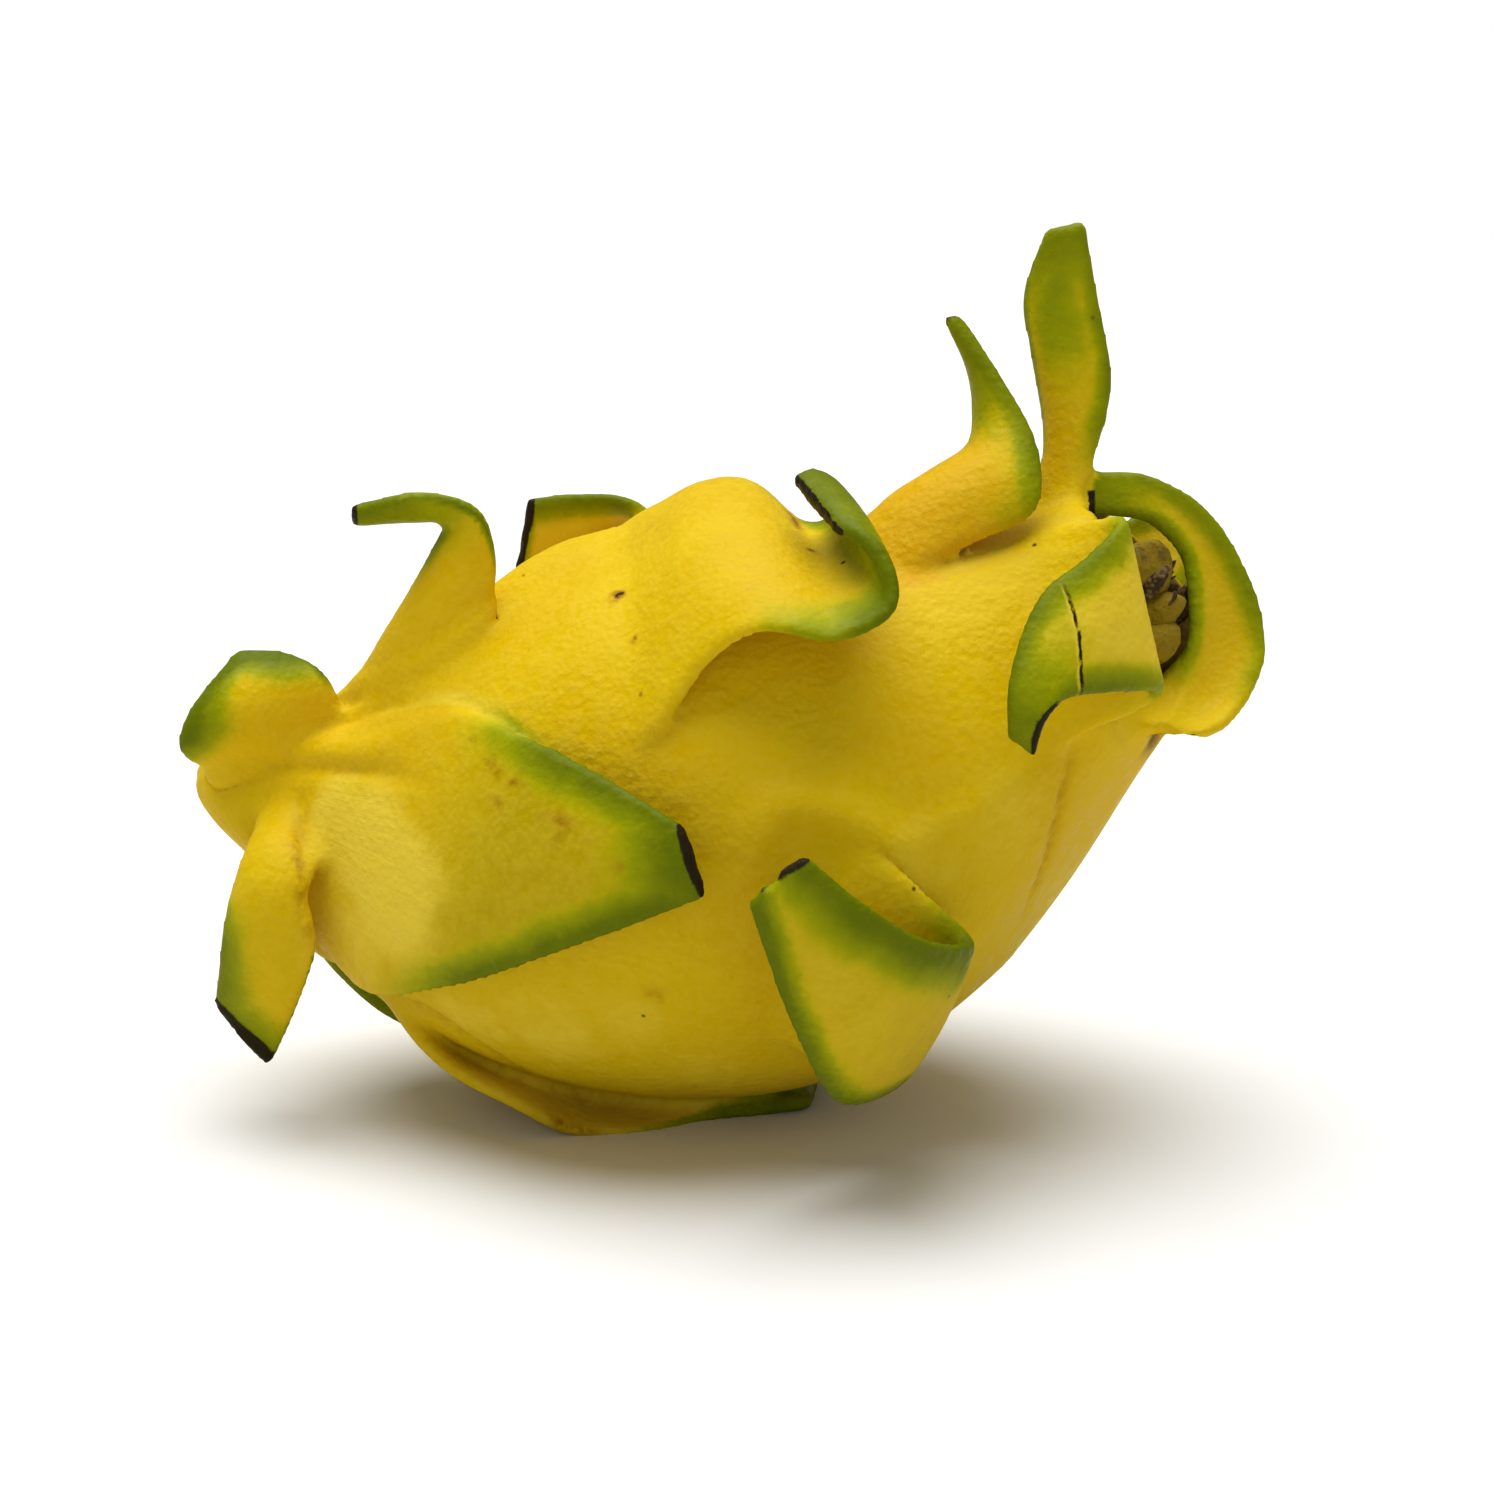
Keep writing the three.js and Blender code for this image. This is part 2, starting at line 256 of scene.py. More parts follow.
def growBody():
    shares = np.linspace(0, 1, bodyValues["rings"])
    flatPoints, flatAhead = flatLine(shares)
    radii = skinRadius(shares)
    slopes = np.arctan2(flatAhead[:, 1], flatAhead[:, 0])
    centres = [Vector((lineStart[0] + x, lineStart[1], lineStart[2] + z)) for x, z in flatPoints]
    deselectAll()
    bpy.ops.mesh.primitive_circle_add(
        vertices=bodyValues["sides"], radius=radii[0], fill_type="TRIFAN",
        location=centres[0], rotation=(0, math.pi / 2 - slopes[0], 0),
    )
    body = nameNewPiece("body")
    applyTransform(body)
    bpy.ops.object.mode_set(mode="EDIT")
    bpy.ops.mesh.select_all(action="SELECT")
    for ring in range(1, len(shares)):
        move = centres[ring] - centres[ring - 1]
        widen = radii[ring] / radii[ring - 1]
        bpy.ops.mesh.extrude_region_move(TRANSFORM_OT_translate={"value": move})
        bpy.ops.transform.rotate(
            value=slopes[ring] - slopes[ring - 1], orient_axis="Y", center_override=centres[ring],
        )
        bpy.ops.transform.resize(value=(widen,) * 3, center_override=centres[ring])
    rimShare = 1 - bodyValues["rimThickness"] / radii[-1]
    floorShare = 1 - bodyValues["hollowTaper"] / (radii[-1] * rimShare)
    inwards = Vector((-math.cos(slopes[-1]), 0, -math.sin(slopes[-1]))) * bodyValues["hollowDepth"]
    bpy.ops.mesh.extrude_region_move(TRANSFORM_OT_translate={"value": (0, 0, 0)})
    bpy.ops.transform.resize(value=(rimShare,) * 3, center_override=centres[-1])
    steps = bodyValues["hollowSteps"]
    for _ in range(steps):
        bpy.ops.mesh.extrude_region_move(TRANSFORM_OT_translate={"value": inwards / steps})
    bpy.ops.transform.resize(value=(floorShare,) * 3, center_override=centres[-1] + inwards)
    bpy.ops.mesh.select_all(action="SELECT")
    bpy.ops.transform.rotate(value=-crownTurn, orient_axis="Z", center_override=centres[0])
    bpy.ops.object.mode_set(mode="OBJECT")
    faceOutwards(body)
    tearCrownWall(body)
    applyModifier(body, "SUBSURF", levels=1, render_levels=1)
    return body


# The crown's wall is worn down on the near side, so that the hollow shows from there
def tearCrownWall(body):
    points = readVertices(body, "co")
    along, around, _ = bodyPlace(points)
    floor = 1 - bodyValues["hollowDepth"] / fruitLength
    torn = ease(around, *bodyValues["tornFrom"]) * (1 - ease(around, *bodyValues["tornTo"]))
    torn *= bodyValues["tornShare"]
    back = np.maximum(along - floor, 0) * torn * fruitLength
    _, ahead, _ = lineAt(np.clip(along, floor, 1))
    moveVertices(body, points - ahead * back[:, None])


# Scales, root to tip
#   stations   place on the first margin, place on the second margin, bulge between them in mm
#   green      width in mm of the green band on the first margin, second margin and tip, and
#              the share of the scale's length where it starts
#   depth      how deep the green is        middle     how green the middle is
#   scaleShade painted shade, how much darker the yellow is   warm       how orange the root is
#   innerPale  how pale the inner side is   jag        how ragged the tip is, in mm
#   cut        how black the tip is         cutReach   width of the black edge in mm
#   sideCut    where along it a black edge starts on the second margin
#   crease     where along it a crease crosses, drawn as a painted shade line with a painted highlight

scaleShape = {
    "thickness": 0.0030,
    "marginShare": 0.58,  # thickness of the margins as a share of the middle's
    "columns": 12,
    "rowsPerStation": 7,
    "nudge": 0.002,  # share of the length over which its direction is read
    "jagFineness": 6,
    "jagStart": 0.8,
}

scaleValues = {
    "nearStem": {
        "stations": (
            ((0.12, 61, -4), (0.15, 122, -4), 3), ((0.25, 44, 0), (0.2, 132, 3.5), 4),
            ((0.385, 59, 2.5), (0.29, 111, 5), 2), ((0.48, 70, 4), (0.41, 97, 6), 1),
            ((0.545, 80, 6), (0.55, 91, 7), 0),
        ),
        "green": (5.5, 6, 11, 0.34), "depth": 1.1, "scaleShade": 0.9, "cut": 1, "cutReach": 1.25, "jag": 0.8,
    },
    "topMiddle": {
        "stations": (
            ((0.33, 5, -4), (0.45, 72, -4), 3), ((0.49, -6, 1.5), (0.53, 64, 1), 4),
            ((0.61, -2, 5.6), (0.61, 56, 6), 4), ((0.685, 1, 7), (0.68, 56, 12), 2),
            ((0.728, 9, 2.2), (0.75, 62, 15), 1), ((0.775, 17, 6), (0.81, 61, 17), 0),
            ((0.803, 21, 12.5), (0.827, 55, 19), 0), ((0.79, 22, 15.5), (0.82, 49, 19.5), 0),
            ((0.765, 24, 14.5), (0.797, 44, 17.5), 0),
        ),
        "green": (6, 8, 15, 0.34), "depth": 1.08, "cut": 1, "cutReach": 1.1, "jag": 0.9,
    },
    "farMiddle": {
        "stations": (
            ((0.33, -28, -4), (0.38, -64, -4), 3), ((0.43, -25, 2), (0.46, -56, 4), 2),
            ((0.475, -22, 6), (0.49, -50, 9), 0), ((0.44, -22, 9), (0.44, -44, 11), 0),
            ((0.36, -24, 14), (0.34, -42, 6), 0), ((0.272, -24, 18.5), (0.25, -36, 6), 0),
        ),
        "green": (4, 5, 2, 0.3), "cut": 1, "jag": 0.5,
    },
    "hook": {
        "stations": (
            ((0.09, 2, -4), (0.28, 36, -4), 2), ((0.15, 13, 9), (0.302, 19, 3), 3),
            ((0.19, 11, 15.5), (0.302, 15, 9), 2), ((0.215, 9, 20), (0.275, 14, 17), 1),
            ((0.14, 10, 26), (0.165, 15, 28.5), 1), ((0.055, 12, 32), (0.06, 16, 34), 0),
        ),
        "green": (4, 0.5, 20, 0.25), "cut": 0.8, "jag": 0.3,
    },
    "stemTop": {
        "stations": (
            ((0.03, 100, -2), (0.13, 29, -3), 2), ((-0.02, 81, 7.5), (0.085, 21, 7), 3),
            ((-0.015, 24, 12.5), (0.045, 14, 9), 1),
        ),
        "green": (9, 1.5, 6, 0.3), "depth": 1.35, "cut": 0.2, "jag": 0.2,
    },
    "pendant": {
        "stations": (
            ((0.16, 92, -3), (0.07, 96, -3), 2), ((0.155, 104, 5), (0.085, 108, 8.5), 2),
            ((0.17, 116, 6.5), (0.088, 121, 13), 2), ((0.165, 129, 9.5), (0.095, 137, 18), 1),
            ((0.15, 146, 17), (0.096, 142, 20), 0), ((0.145, 149, 20.5), (0.1, 143, 20.5), 0),
        ),
        "green": (0.2, 6.5, 8, 0.25), "cut": 1, "cutReach": 3.4, "jag": 0.8,
    },
    "nearCrownEnd": {
        "stations": (
            ((0.63, 84, -4), (0.52, 112, -4), 2), ((0.69, 102, 2), (0.56, 135, 1.5), 3),
            ((0.72, 119, 8), (0.617, 147, 5), 0), ((0.7, 108, 14.5), (0.585, 130, 12), -2),
            ((0.675, 97, 17), (0.585, 110, 15), -1), ((0.65, 88, 17), (0.59, 90, 15), 0),
        ),
        "green": (7, 5, 1.5, 0.2), "depth": 1.15, "innerPale": 0.6, "scaleShade": 0.5,
        "cut": 0.75, "cutReach": 1.1, "jag": 0.8,
    },
    "underneath": {
        "stations": (
            ((0.18, 142, -4), (0.2, 200, -4), 2), ((0.27, 144, 4), (0.27, 204, 3), 2),
            ((0.33, 146, 5.5), (0.33, 205, 4), 1), ((0.37, 153, 6.5), (0.37, 204, 5), 0),
            ((0.42, 158, 4.5), (0.42, 202, 4), 0), ((0.46, 165, 2.8), (0.46, 198, 3), 0),
            ((0.53, 172, 3), (0.53, 188, 3), 0),
        ),
        "green": (2, 4, 12, 0.6), "jag": 0.5,
    },
    "crownFront": {
        "stations": (
            ((0.86, 5, -4), (0.8, 104, -4), 2), ((0.97, 32, 0.5), (0.87, 111, 2), 3),
            ((1.02, 59, 5), (0.94, 115, 7), 1), ((0.975, 68, 12), (0.91, 97, 12), -1),
            ((0.925, 70, 14), (0.885, 91, 15.5), 0), ((0.86, 81, 14.5), (0.86, 92, 16), 0),
            ((0.83, 90, 13.5), (0.84, 96, 14), 0),
        ),
        "green": (5, 4, 15, 0.2), "sideCut": 0.66, "jag": 0.5, "crease": 0.6,
    },
    "crownRight": {
        "stations": (
            ((0.885, 150, -4), (0.875, 126, -5), 0), ((0.933, 153, 4.4), (0.917, 139, -1), 1),
            ((0.969, 166, 6.4), (0.935, 153, -2), 2), ((1.019, 178, 4.3), (0.969, 163, -4), 2.5),
            ((1.053, 190, -3.6), (1.003, 171, -7.8), 2.5), ((1.07, -82, -11.3), (1.027, -148, -12.5), 2),
            ((1.054, -18, -4.3), (1.027, -15, -9.6), 1), ((1.018, -11, 1.7), (0.989, -6, -3.2), 0.5),
        ),
        "green": (4, 2.6, 12, 0.25), "depth": 0.85, "innerPale": 0.2, "scaleShade": 0.4, "cut": 0.9, "jag": 0.6,
    },
    "crownTall": {
        "stations": (
            ((0.9, -22, -4), (0.96, 8, -4), 1), ((1.0, -17, 7.5), (1.03, -6, 1.5), 1.5),
            ((1.055, -14, 18), (1.093, -11.5, 8), 2), ((1.09, -12, 25), (1.135, -10, 16.5), 1),
            ((1.15, -9, 29), (1.18, -7, 26), 0),
        ),
        "green": (1.6, 2.6, 12, 0.12), "depth": 0.9, "middle": 0.8, "cut": 0.25, "jag": 0.5, "scaleShade": 0.5,
    },
    "crownPointed": {
        "stations": (
            ((0.76, -14, -3), (0.78, 34, -3), 3), ((0.83, -9, 4.5), (0.84, 32, 0.6), 4),
            ((0.89, -5, 9), (0.89, 30, 2), 4), ((0.95, -7, 12.5), (0.96, 26, 3), 4),
            ((0.99, -9, 19), (1.005, 8, 9), 2),
            ((1.02, -8, 25), (1.025, -1, 19), 1), ((1.034, -4.4, 30.4), (1.0345, -3.8, 29.8), 0),
        ),
        "green": (3, 5.5, 20, 0.36), "depth": 0.92, "cut": 0.5, "cutReach": 1.2, "jag": 0.2, "warm": 0.8,
    },
    "farStem": {
        "stations": (
            ((0.14, -120, -4), (0.12, -66, -4), 3), ((0.24, -128, 3), (0.25, -62, 3), 4),
            ((0.34, -118, 4), (0.37, -72, 4), 3), ((0.42, -108, 7), (0.44, -84, 8), 0),
            ((0.43, -103, 11), (0.44, -90, 12), 0),
        ),
        "green": (4.5, 4.5, 8, 0.3), "cut": 0.9, "jag": 1,
    },
    "farSide": {
        "stations": (
            ((0.42, -118, -4), (0.42, -70, -4), 3), ((0.54, -124, 3), (0.55, -72, 3), 4),
            ((0.64, -116, 4), (0.66, -82, 5), 2), ((0.71, -108, 8), (0.72, -90, 9), 0),
            ((0.7, -104, 12), (0.71, -94, 13), 0),
        ),
        "green": (4.5, 4.5, 8, 0.3), "cut": 0.7, "jag": 1,
    },
    "farCrownEnd": {
        "stations": (
            ((0.64, -80, -4), (0.64, -34, -4), 2), ((0.75, -84, 3), (0.76, -36, 3), 4),
            ((0.83, -78, 6), (0.85, -44, 6), 2), ((0.89, -70, 11), (0.91, -54, 11), 0),
            ((0.9, -66, 15), (0.91, -58, 15), 0),
        ),
        "green": (4, 4, 8, 0.3), "cut": 0.8, "jag": 1,
    },
    "farUnder": {
        "stations": (
            ((0.24, -166, -4), (0.22, -132, -4), 2), ((0.36, -158, 3), (0.35, -122, 3), 3),
            ((0.46, -148, 4), (0.46, -122, 5), 2), ((0.54, -138, 6), (0.54, -126, 7), 0),
        ),
        "green": (4, 4, 7, 0.35), "cut": 0.6, "jag": 0.6,
    },
    "underCrownEnd": {
        "stations": (
            ((0.56, 204, -4), (0.56, 244, -4), 2), ((0.67, 204, 2), (0.67, 250, 3), 2),
            ((0.76, 210, 3), (0.76, 246, 4), 2), ((0.84, 218, 4), (0.84, 232, 5), 0),
        ),
        "green": (4, 4, 7, 0.35), "cut": 0.6, "jag": 0.6,
    },
    "stemUnder": {
        "stations": (
            ((0.06, 158, -4), (0.05, 212, -4), 1), ((0.13, 162, 0.3), (0.12, 206, 1.5), 1),
            ((0.2, 165, 1.6), (0.2, 194, 2), 0), ((0.235, 170, 1.2), (0.235, 186, 1.5), 0),
        ),
        "green": (4, 4, 7, 0.3), "cut": 0.5, "jag": 0.4,
    },
    "crownFar": {
        "stations": (
            ((0.82, -118, -4), (0.82, -68, -4), 2), ((0.92, -122, 3), (0.93, -66, 3), 3),
            ((0.99, -116, 6), (1.0, -74, 6), 2), ((1.03, -106, 10), (1.04, -84, 10), 0),
            ((1.03, -100, 14), (1.035, -90, 14), 0),
        ),
        "green": (4, 4, 8, 0.3), "cut": 0.7, "jag": 0.8,
    },
}


# Points and outward directions on the middle of a scale's thickness, at shares across and along it
def scaleSurface(values, across, along):
    stations = values["stations"]
    firstKnots = placesOnFruit([first for first, _, _ in stations])
    secondKnots = placesOnFruit([second for _, second, _ in stations])
    bulgeKnots = [(index, bulge * mm) for index, (_, _, bulge) in enumerate(stations)]
    first, second = throughKnots(firstKnots, along), throughKnots(secondKnots, along)
    nudge = scaleShape["nudge"]
    ahead = sum(
        unit(throughKnots(knots, along + nudge) - throughKnots(knots, along - nudge))
        for knots in (firstKnots, secondKnots)
    )
    outward = unit(np.cross(second - first, ahead))
    middle = 1 - (2 * across - 1) ** 2
    bulge = throughKnots(bulgeKnots, along, evenness=0)[:, 1] * middle
    return first + (second - first) * across[:, None] + outward * bulge[:, None], outward


def growScale(name, values, seed):
    rows = (len(values["stations"]) - 1) * scaleShape["rowsPerStation"]
    deselectAll()
    bpy.ops.mesh.primitive_grid_add(x_subdivisions=scaleShape["columns"], y_subdivisions=rows, size=1)
    scale = nameNewPiece(name)
    across, along, _ = np.clip(readVertices(scale, "co") + 0.5, 0, 1).T
    points, _ = scaleSurface(values, across, along)
    length = np.linalg.norm(points[along > 0.99].mean(0) - points[along < 0.01].mean(0))
    fineness = scaleShape["jagFineness"]
    wander = np.array([noise.noise(Vector((u * fineness, seed * 7.3, 0))) for u in across])
    short = values["jag"] * mm * wander / length * ease(along, scaleShape["jagStart"], 1)
    points, _ = scaleSurface(values, across, np.clip(along - np.maximum(short, 0), 0, 1))
    moveVertices(scale, points)
    middle = scale.vertex_groups.new(name="middle")
    for index, share in enumerate(1 - (2 * across - 1) ** 2):
        middle.add([index], float(share), "REPLACE")
    applyModifier(
        scale, "SOLIDIFY", thickness=scaleShape["thickness"], offset=0,
        vertex_group="middle", thickness_vertex_group=scaleShape["marginShare"],
    )
    faceOutwards(scale)
    applyModifier(scale, "SUBSURF", levels=1, render_levels=1)
    return scale


body = growBody()
print("body grown", len(body.data.vertices))
scalePieces = [
    growScale(name, values, seed) for seed, (name, values) in enumerate(scaleValues.items())
]
print("scales grown", len(scalePieces))

# One skin over body and scales

skinValues = {
    "fineness": 0.00075,
    "smoothing": 7,
    "smoothFactors": (0.55, -0.56),  # a step inwards, then one back out
    "rootSmoothing": 18,
    "rootFactor": 0.6,
    "rootAlong": (0.12, 0.45),  # share of a scale's length over which its root fades out
    "rootAbove": (-0.6, 0.4),  # mm off the scale's middle
    "rootAway": (5, 9),
    "rootLift": (4, 9),
    "skinLift": (2.5, 5),  # mm off the body over which its ridges fade out
    "triangles": 190000,
    "lumps": 0.00075,  # height of the broad unevenness
    "lumpSize": 0.03,
}

fruit = joinPieces("fruit_skin", [body, *scalePieces])
applyModifier(fruit, "REMESH", mode="VOXEL", voxel_size=skinValues["fineness"], adaptivity=0)
print("skin", len(fruit.data.vertices), len(fruit.data.polygons))

# Where a point lies on its nearest scale, read from a grid of places on every scale

readingGrid = {"columns": 25, "rows": 91}


def scaleReadings():
    columns, rows = readingGrid["columns"], readingGrid["rows"]
    shares = np.meshgrid(np.linspace(0, 1, columns), np.linspace(0, 1, rows))
    across, along = (share.ravel() for share in shares)
    found = []
    for index, values in enumerate(scaleValues.values()):
        points, outward = scaleSurface(values, across, along)
        grid = points.reshape(rows, columns, 3)
        acrossGaps = np.linalg.norm(np.diff(grid, axis=1), axis=2)
        alongGaps = np.linalg.norm(np.diff(grid, axis=0), axis=2)
        fromFirst = np.pad(np.cumsum(acrossGaps, axis=1), ((0, 0), (1, 0)))
        fromRoot = np.pad(np.cumsum(alongGaps, axis=0), ((1, 0), (0, 0)))
        acrossStep = np.gradient(grid, 1 / (columns - 1), axis=1)
        alongStep = np.gradient(grid, 1 / (rows - 1), axis=0)
        found.append(np.column_stack([
            points, outward, acrossStep.reshape(-1, 3), alongStep.reshape(-1, 3), across, along,
            fromFirst.ravel(), (fromFirst[:, -1:] - fromFirst).ravel(),
            (fromRoot[-1:] - fromRoot).ravel(), np.full(len(points), index),
        ]))
    return np.vstack(found)


def scalePlace(points):
    table = scaleReadings()
    near = table[nearestOf(points, table[:, :3])]
    outward, acrossStep, alongStep = near[:, 3:6], near[:, 6:9], near[:, 9:12]
    across, along, fromFirst, fromSecond, fromTip, index = near[:, 12:].T
    offset = points - near[:, :3]
    above = (offset * outward).sum(1)
    slide = offset - outward * above[:, None]
    acrossLength = np.maximum(np.linalg.norm(acrossStep, axis=1), mm)
    alongLength = np.maximum(np.linalg.norm(alongStep, axis=1), mm)
    sideways = (slide * acrossStep).sum(1) / acrossLength
    forwards = (slide * alongStep).sum(1) / alongLength
    fromFirst, fromSecond, fromTip = fromFirst + sideways, fromSecond - sideways, fromTip - forwards
    beyondMargin = np.maximum(0, np.maximum(-fromFirst, -fromSecond))
    away = np.sqrt(above**2 + beyondMargin**2 + np.maximum(0, -fromTip) ** 2)
    return {
        "across": np.clip(across + sideways / acrossLength, 0, 1),
        "along": np.clip(along + forwards / alongLength, 0, 1),
        "fromFirst": fromFirst / mm, "fromSecond": fromSecond / mm, "fromTip": fromTip / mm,
        "alongLength": alongLength / mm, "above": above / mm, "away": away / mm,
        "index": index.astype(int),
    }


def perScale(key, places, usual=0.0):
    table = np.array([values.get(key, usual) for values in scaleValues.values()], float)
    return table[places["index"]]


# Ridges, creases and marks: points, width and height in mm, brownness. A point is (along, around),
# or (along, around, lift) where it goes to the nearest skin.

ridgeValues = {
    "rootArc": (((0.585, 92), (0.61, 84), (0.635, 82), (0.665, 87), (0.69, 97), (0.705, 112)), 3.2, 1.8, 0),
    "longCrease": (((0.165, 148), (0.235, 138), (0.264, 133), (0.304, 139), (0.335, 150)), 1.6, -1.0, 0.25),
    "pendantCrease": (((0.097, 77, 4), (0.138, 92, 6), (0.169, 101, 8), (0.182, 112, 9)), 1.2, -1.2, 0.75),
    "crownCrease": (((0.865, 110), (0.826, 124), (0.786, 140), (0.743, 153)), 0.9, -0.8, 0.6),
    "crownRidge": (((0.85, 109), (0.78, 105), (0.728, 101), (0.686, 98)), 2.6, 0.8, 0),
    "stemRidge": (((0.034, 77), (0.091, 53), (0.165, 54), (0.259, 50)), 2.6, 0.9, 0),
    "stemCrease": (((0.05, 60), (0.1, 40), (0.177, 36), (0.23, 40)), 1.2, -0.7, 0.2),
    "hookRidge": (((0.02, 30), (0.06, 18), (0.12, 16), (0.2, 24)), 2.0, 0.7, 0),
    "foldCrease": (((0.36, 148, 4), (0.375, 150, 5), (0.395, 152, 5)), 1.1, -1.2, 1.1),
    "hookCrest": (((0.24, 10), (0.31, 4), (0.4, 0), (0.48, -4)), 7.0, 3.6, 0),
    "stemSwell": (((-0.01, 108), (0.04, 112), (0.08, 108)), 7.0, 3.0, 0),
    "lobeFill": (((0.12, 112), (0.15, 128), (0.175, 146)), 6.5, 3.4, 0),
    "ringMark": (((0.385, 75, 10), (0.398, 73.5, 10), (0.411, 76, 10), (0.403, 78, 10)), 0.7, 0, 1),
    "scratchA": (((0.306, 61, 9), (0.32, 63, 9), (0.33, 66, 9)), 0.5, 0, 1),
    "scratchB": (((0.336, 67, 10), (0.35, 67, 10), (0.365, 68, 10)), 0.5, 0, 1),
    "scratchC": (((0.318, 70, 10), (0.325, 71, 10), (0.331, 72.5, 10)), 0.5, 0, 0.9),
    "scratchD": (((0.281, 56, 9), (0.285, 57.5, 9), (0.289, 58, 9)), 0.5, 0, 0.9),
    "blackMark": (((0.484, 31, 4), (0.488, 30, 4), (0.492, 30, 4)), 0.85, 0, 3.2),
    "blackDot": (((0.503, 43, 4), (0.507, 43, 4)), 0.7, 0, 2.8),
    "notchMark": (((0.722, 10, 4), (0.729, 15, 4), (0.735, 24, 5)), 1.1, 0, 1.3),
    "notchDot": (((0.745, 32, 6), (0.75, 34, 7)), 0.7, 0, 1.4),
    "darkDot": (((0.467, 83, 10), (0.471, 83.5, 10)), 0.9, 0, 1),
    "bellyStain": (((0.466, 112), (0.472, 111)), 1.8, 0, 0.6),
    "rightTrim": (((0.7, 158), (0.82, 152), (0.93, 150)), 13.0, -2.2, 0),
    "stemWrinkleA": (((0.06, 68), (0.12, 62), (0.19, 62), (0.26, 66)), 1.1, -0.9, 0.25),
    "stemWrinkleB": (((0.04, 30), (0.09, 25), (0.15, 26)), 1.1, -1.0, 0.3),
    "farRidge": (((0.1, -80), (0.25, -60), (0.4, -52)), 3.0, 0.9, 0),
    "farCrease": (((0.42, -100), (0.55, -98), (0.64, -72)), 1.4, -0.8, 0.2),
    "underRidge": (((0.2, 172), (0.4, 176), (0.6, 200)), 3.2, 0.8, 0),
}

# Rubbed creamy patches: (along, around), radius in mm, strength
patchValues = (
    ((0.15, 76), 7, 0.75), ((0.19, 84), 10, 1), ((0.235, 94), 11, 1), ((0.27, 104), 8, 0.6),
    ((0.2, 118), 9, 0.5), ((0.3, 127), 8, 0.5), ((0.37, 122), 9, 0.5), ((0.44, 118), 8, 0.35),
    ((0.48, 136), 9, 0.3), ((0.79, 112), 9, 0.35), ((0.72, 104), 8, 0.25), ((0.3, -95), 12, 0.5),
    ((0.6, -140), 10, 0.4), ((0.7, 190), 12, 0.4),
)


# Distance in mm from a path over the skin, and how strong the path is there
def awayFromPath(points, path):
    knots = placesOnFruit([(*place, 0)[:3] for place in path])
    if len(path[0]) == 3:
        knots = points[nearestOf(knots, points)]
    shares = np.linspace(0, 1, 40)
    line = throughKnots(knots, shares)
    nearest = nearestOf(points, line)
    away = np.linalg.norm(points - line[nearest], axis=1) / mm
    strength = np.sin(np.pi * np.clip(shares[nearest], 0.02, 0.98)) ** 0.5
    return away, strength


def shapeSkin(fruit):
    values = skinValues
    points = readVertices(fruit, "co")
    places = scalePlace(points)
    _, _, lift = bodyPlace(points)
    blend = (1 - ease(places["along"], *values["rootAlong"])) * ease(places["above"], *values["rootAbove"])
    blend *= (1 - ease(places["away"], *values["rootAway"])) * (1 - ease(lift, *values["rootLift"]))
    roots = fruit.vertex_groups.new(name="roots")
    for index, weight in enumerate(blend):
        roots.add([index], float(weight), "REPLACE")
    for _ in range(values["smoothing"]):
        for factor in values["smoothFactors"]:
            applyModifier(fruit, "SMOOTH", factor=factor, iterations=1)
    applyModifier(
        fruit, "SMOOTH", factor=values["rootFactor"], iterations=values["rootSmoothing"],
        vertex_group="roots",
    )
    share = values["triangles"] / (2 * len(fruit.data.polygons))
    applyModifier(fruit, "DECIMATE", ratio=min(share, 1))
    points = readVertices(fruit, "co")
    normals = readVertices(fruit, "normal")
    _, _, lift = bodyPlace(points)
    onSkin = 1 - ease(np.abs(lift), *values["skinLift"])
    raised = np.zeros(len(points))
    brown = np.zeros(len(points))
    for path, width, height, brownness in ridgeValues.values():
        away, strength = awayFromPath(points, path)
        raised += height * mm * np.exp(-((away / width) ** 2)) * strength
        brown = np.maximum(brown, brownness * np.exp(-((away / (width * 0.8)) ** 2)) * strength)
    size = values["lumpSize"]
    lumps = np.array([noise.noise(Vector(point) / size) for point in points]) * values["lumps"]
    points += normals * ((raised + lumps) * onSkin)[:, None]
    points[:, 2] = np.maximum(points[:, 2], 0)
    moveVertices(fruit, points)
    return brown


# Start and end of each field's fade: mm from a margin, tip, crease or middle, or share of the length
fadeValues = {
    "onScale": (1.7, 2.9),
    "greenBand": (0, 1.6),  # in band widths
    "greenMiddle": (0.3, 0.65),
    "greenStart": (0.75, 0.28),  # share of the start, and what is added to it
    "tipCut": (0.4, 1.3),  # in cut reaches
    "sideCut": (0.2, 1.5),
    "sideCutStart": 0.08,
    "innerSide": (-0.7, 0.1),
    "innerStart": (0.1, 0.3),
    "warmRoot": (0.25, 0.7),
    "scaleShade": (0.25, 0.6),
    "creaseNear": (2, 3.5),
    "creaseAcross": (0.05, 0.2),
    "creaseAway": (1.7, 2.2),
    "patch": (0.4, 1.25),  # in patch radii
    "hollowLift": (-2.5, -0.8),
    "hollowAlong": (0.88, 0.9),
}


def fade(name, values):
    return ease(values, *fadeValues[name])


def storeGrainPlace(fruit, along, around, lift):
    turn = np.radians(around) * lineValues["bellyRadius"]
    field = fruit.data.attributes.new("grainPlace", "FLOAT_VECTOR", "POINT")
    grainPlace = np.column_stack([along * fruitLength, turn, lift * mm])
    field.data.foreach_set("vector", grainPlace.astype(np.float32).ravel())


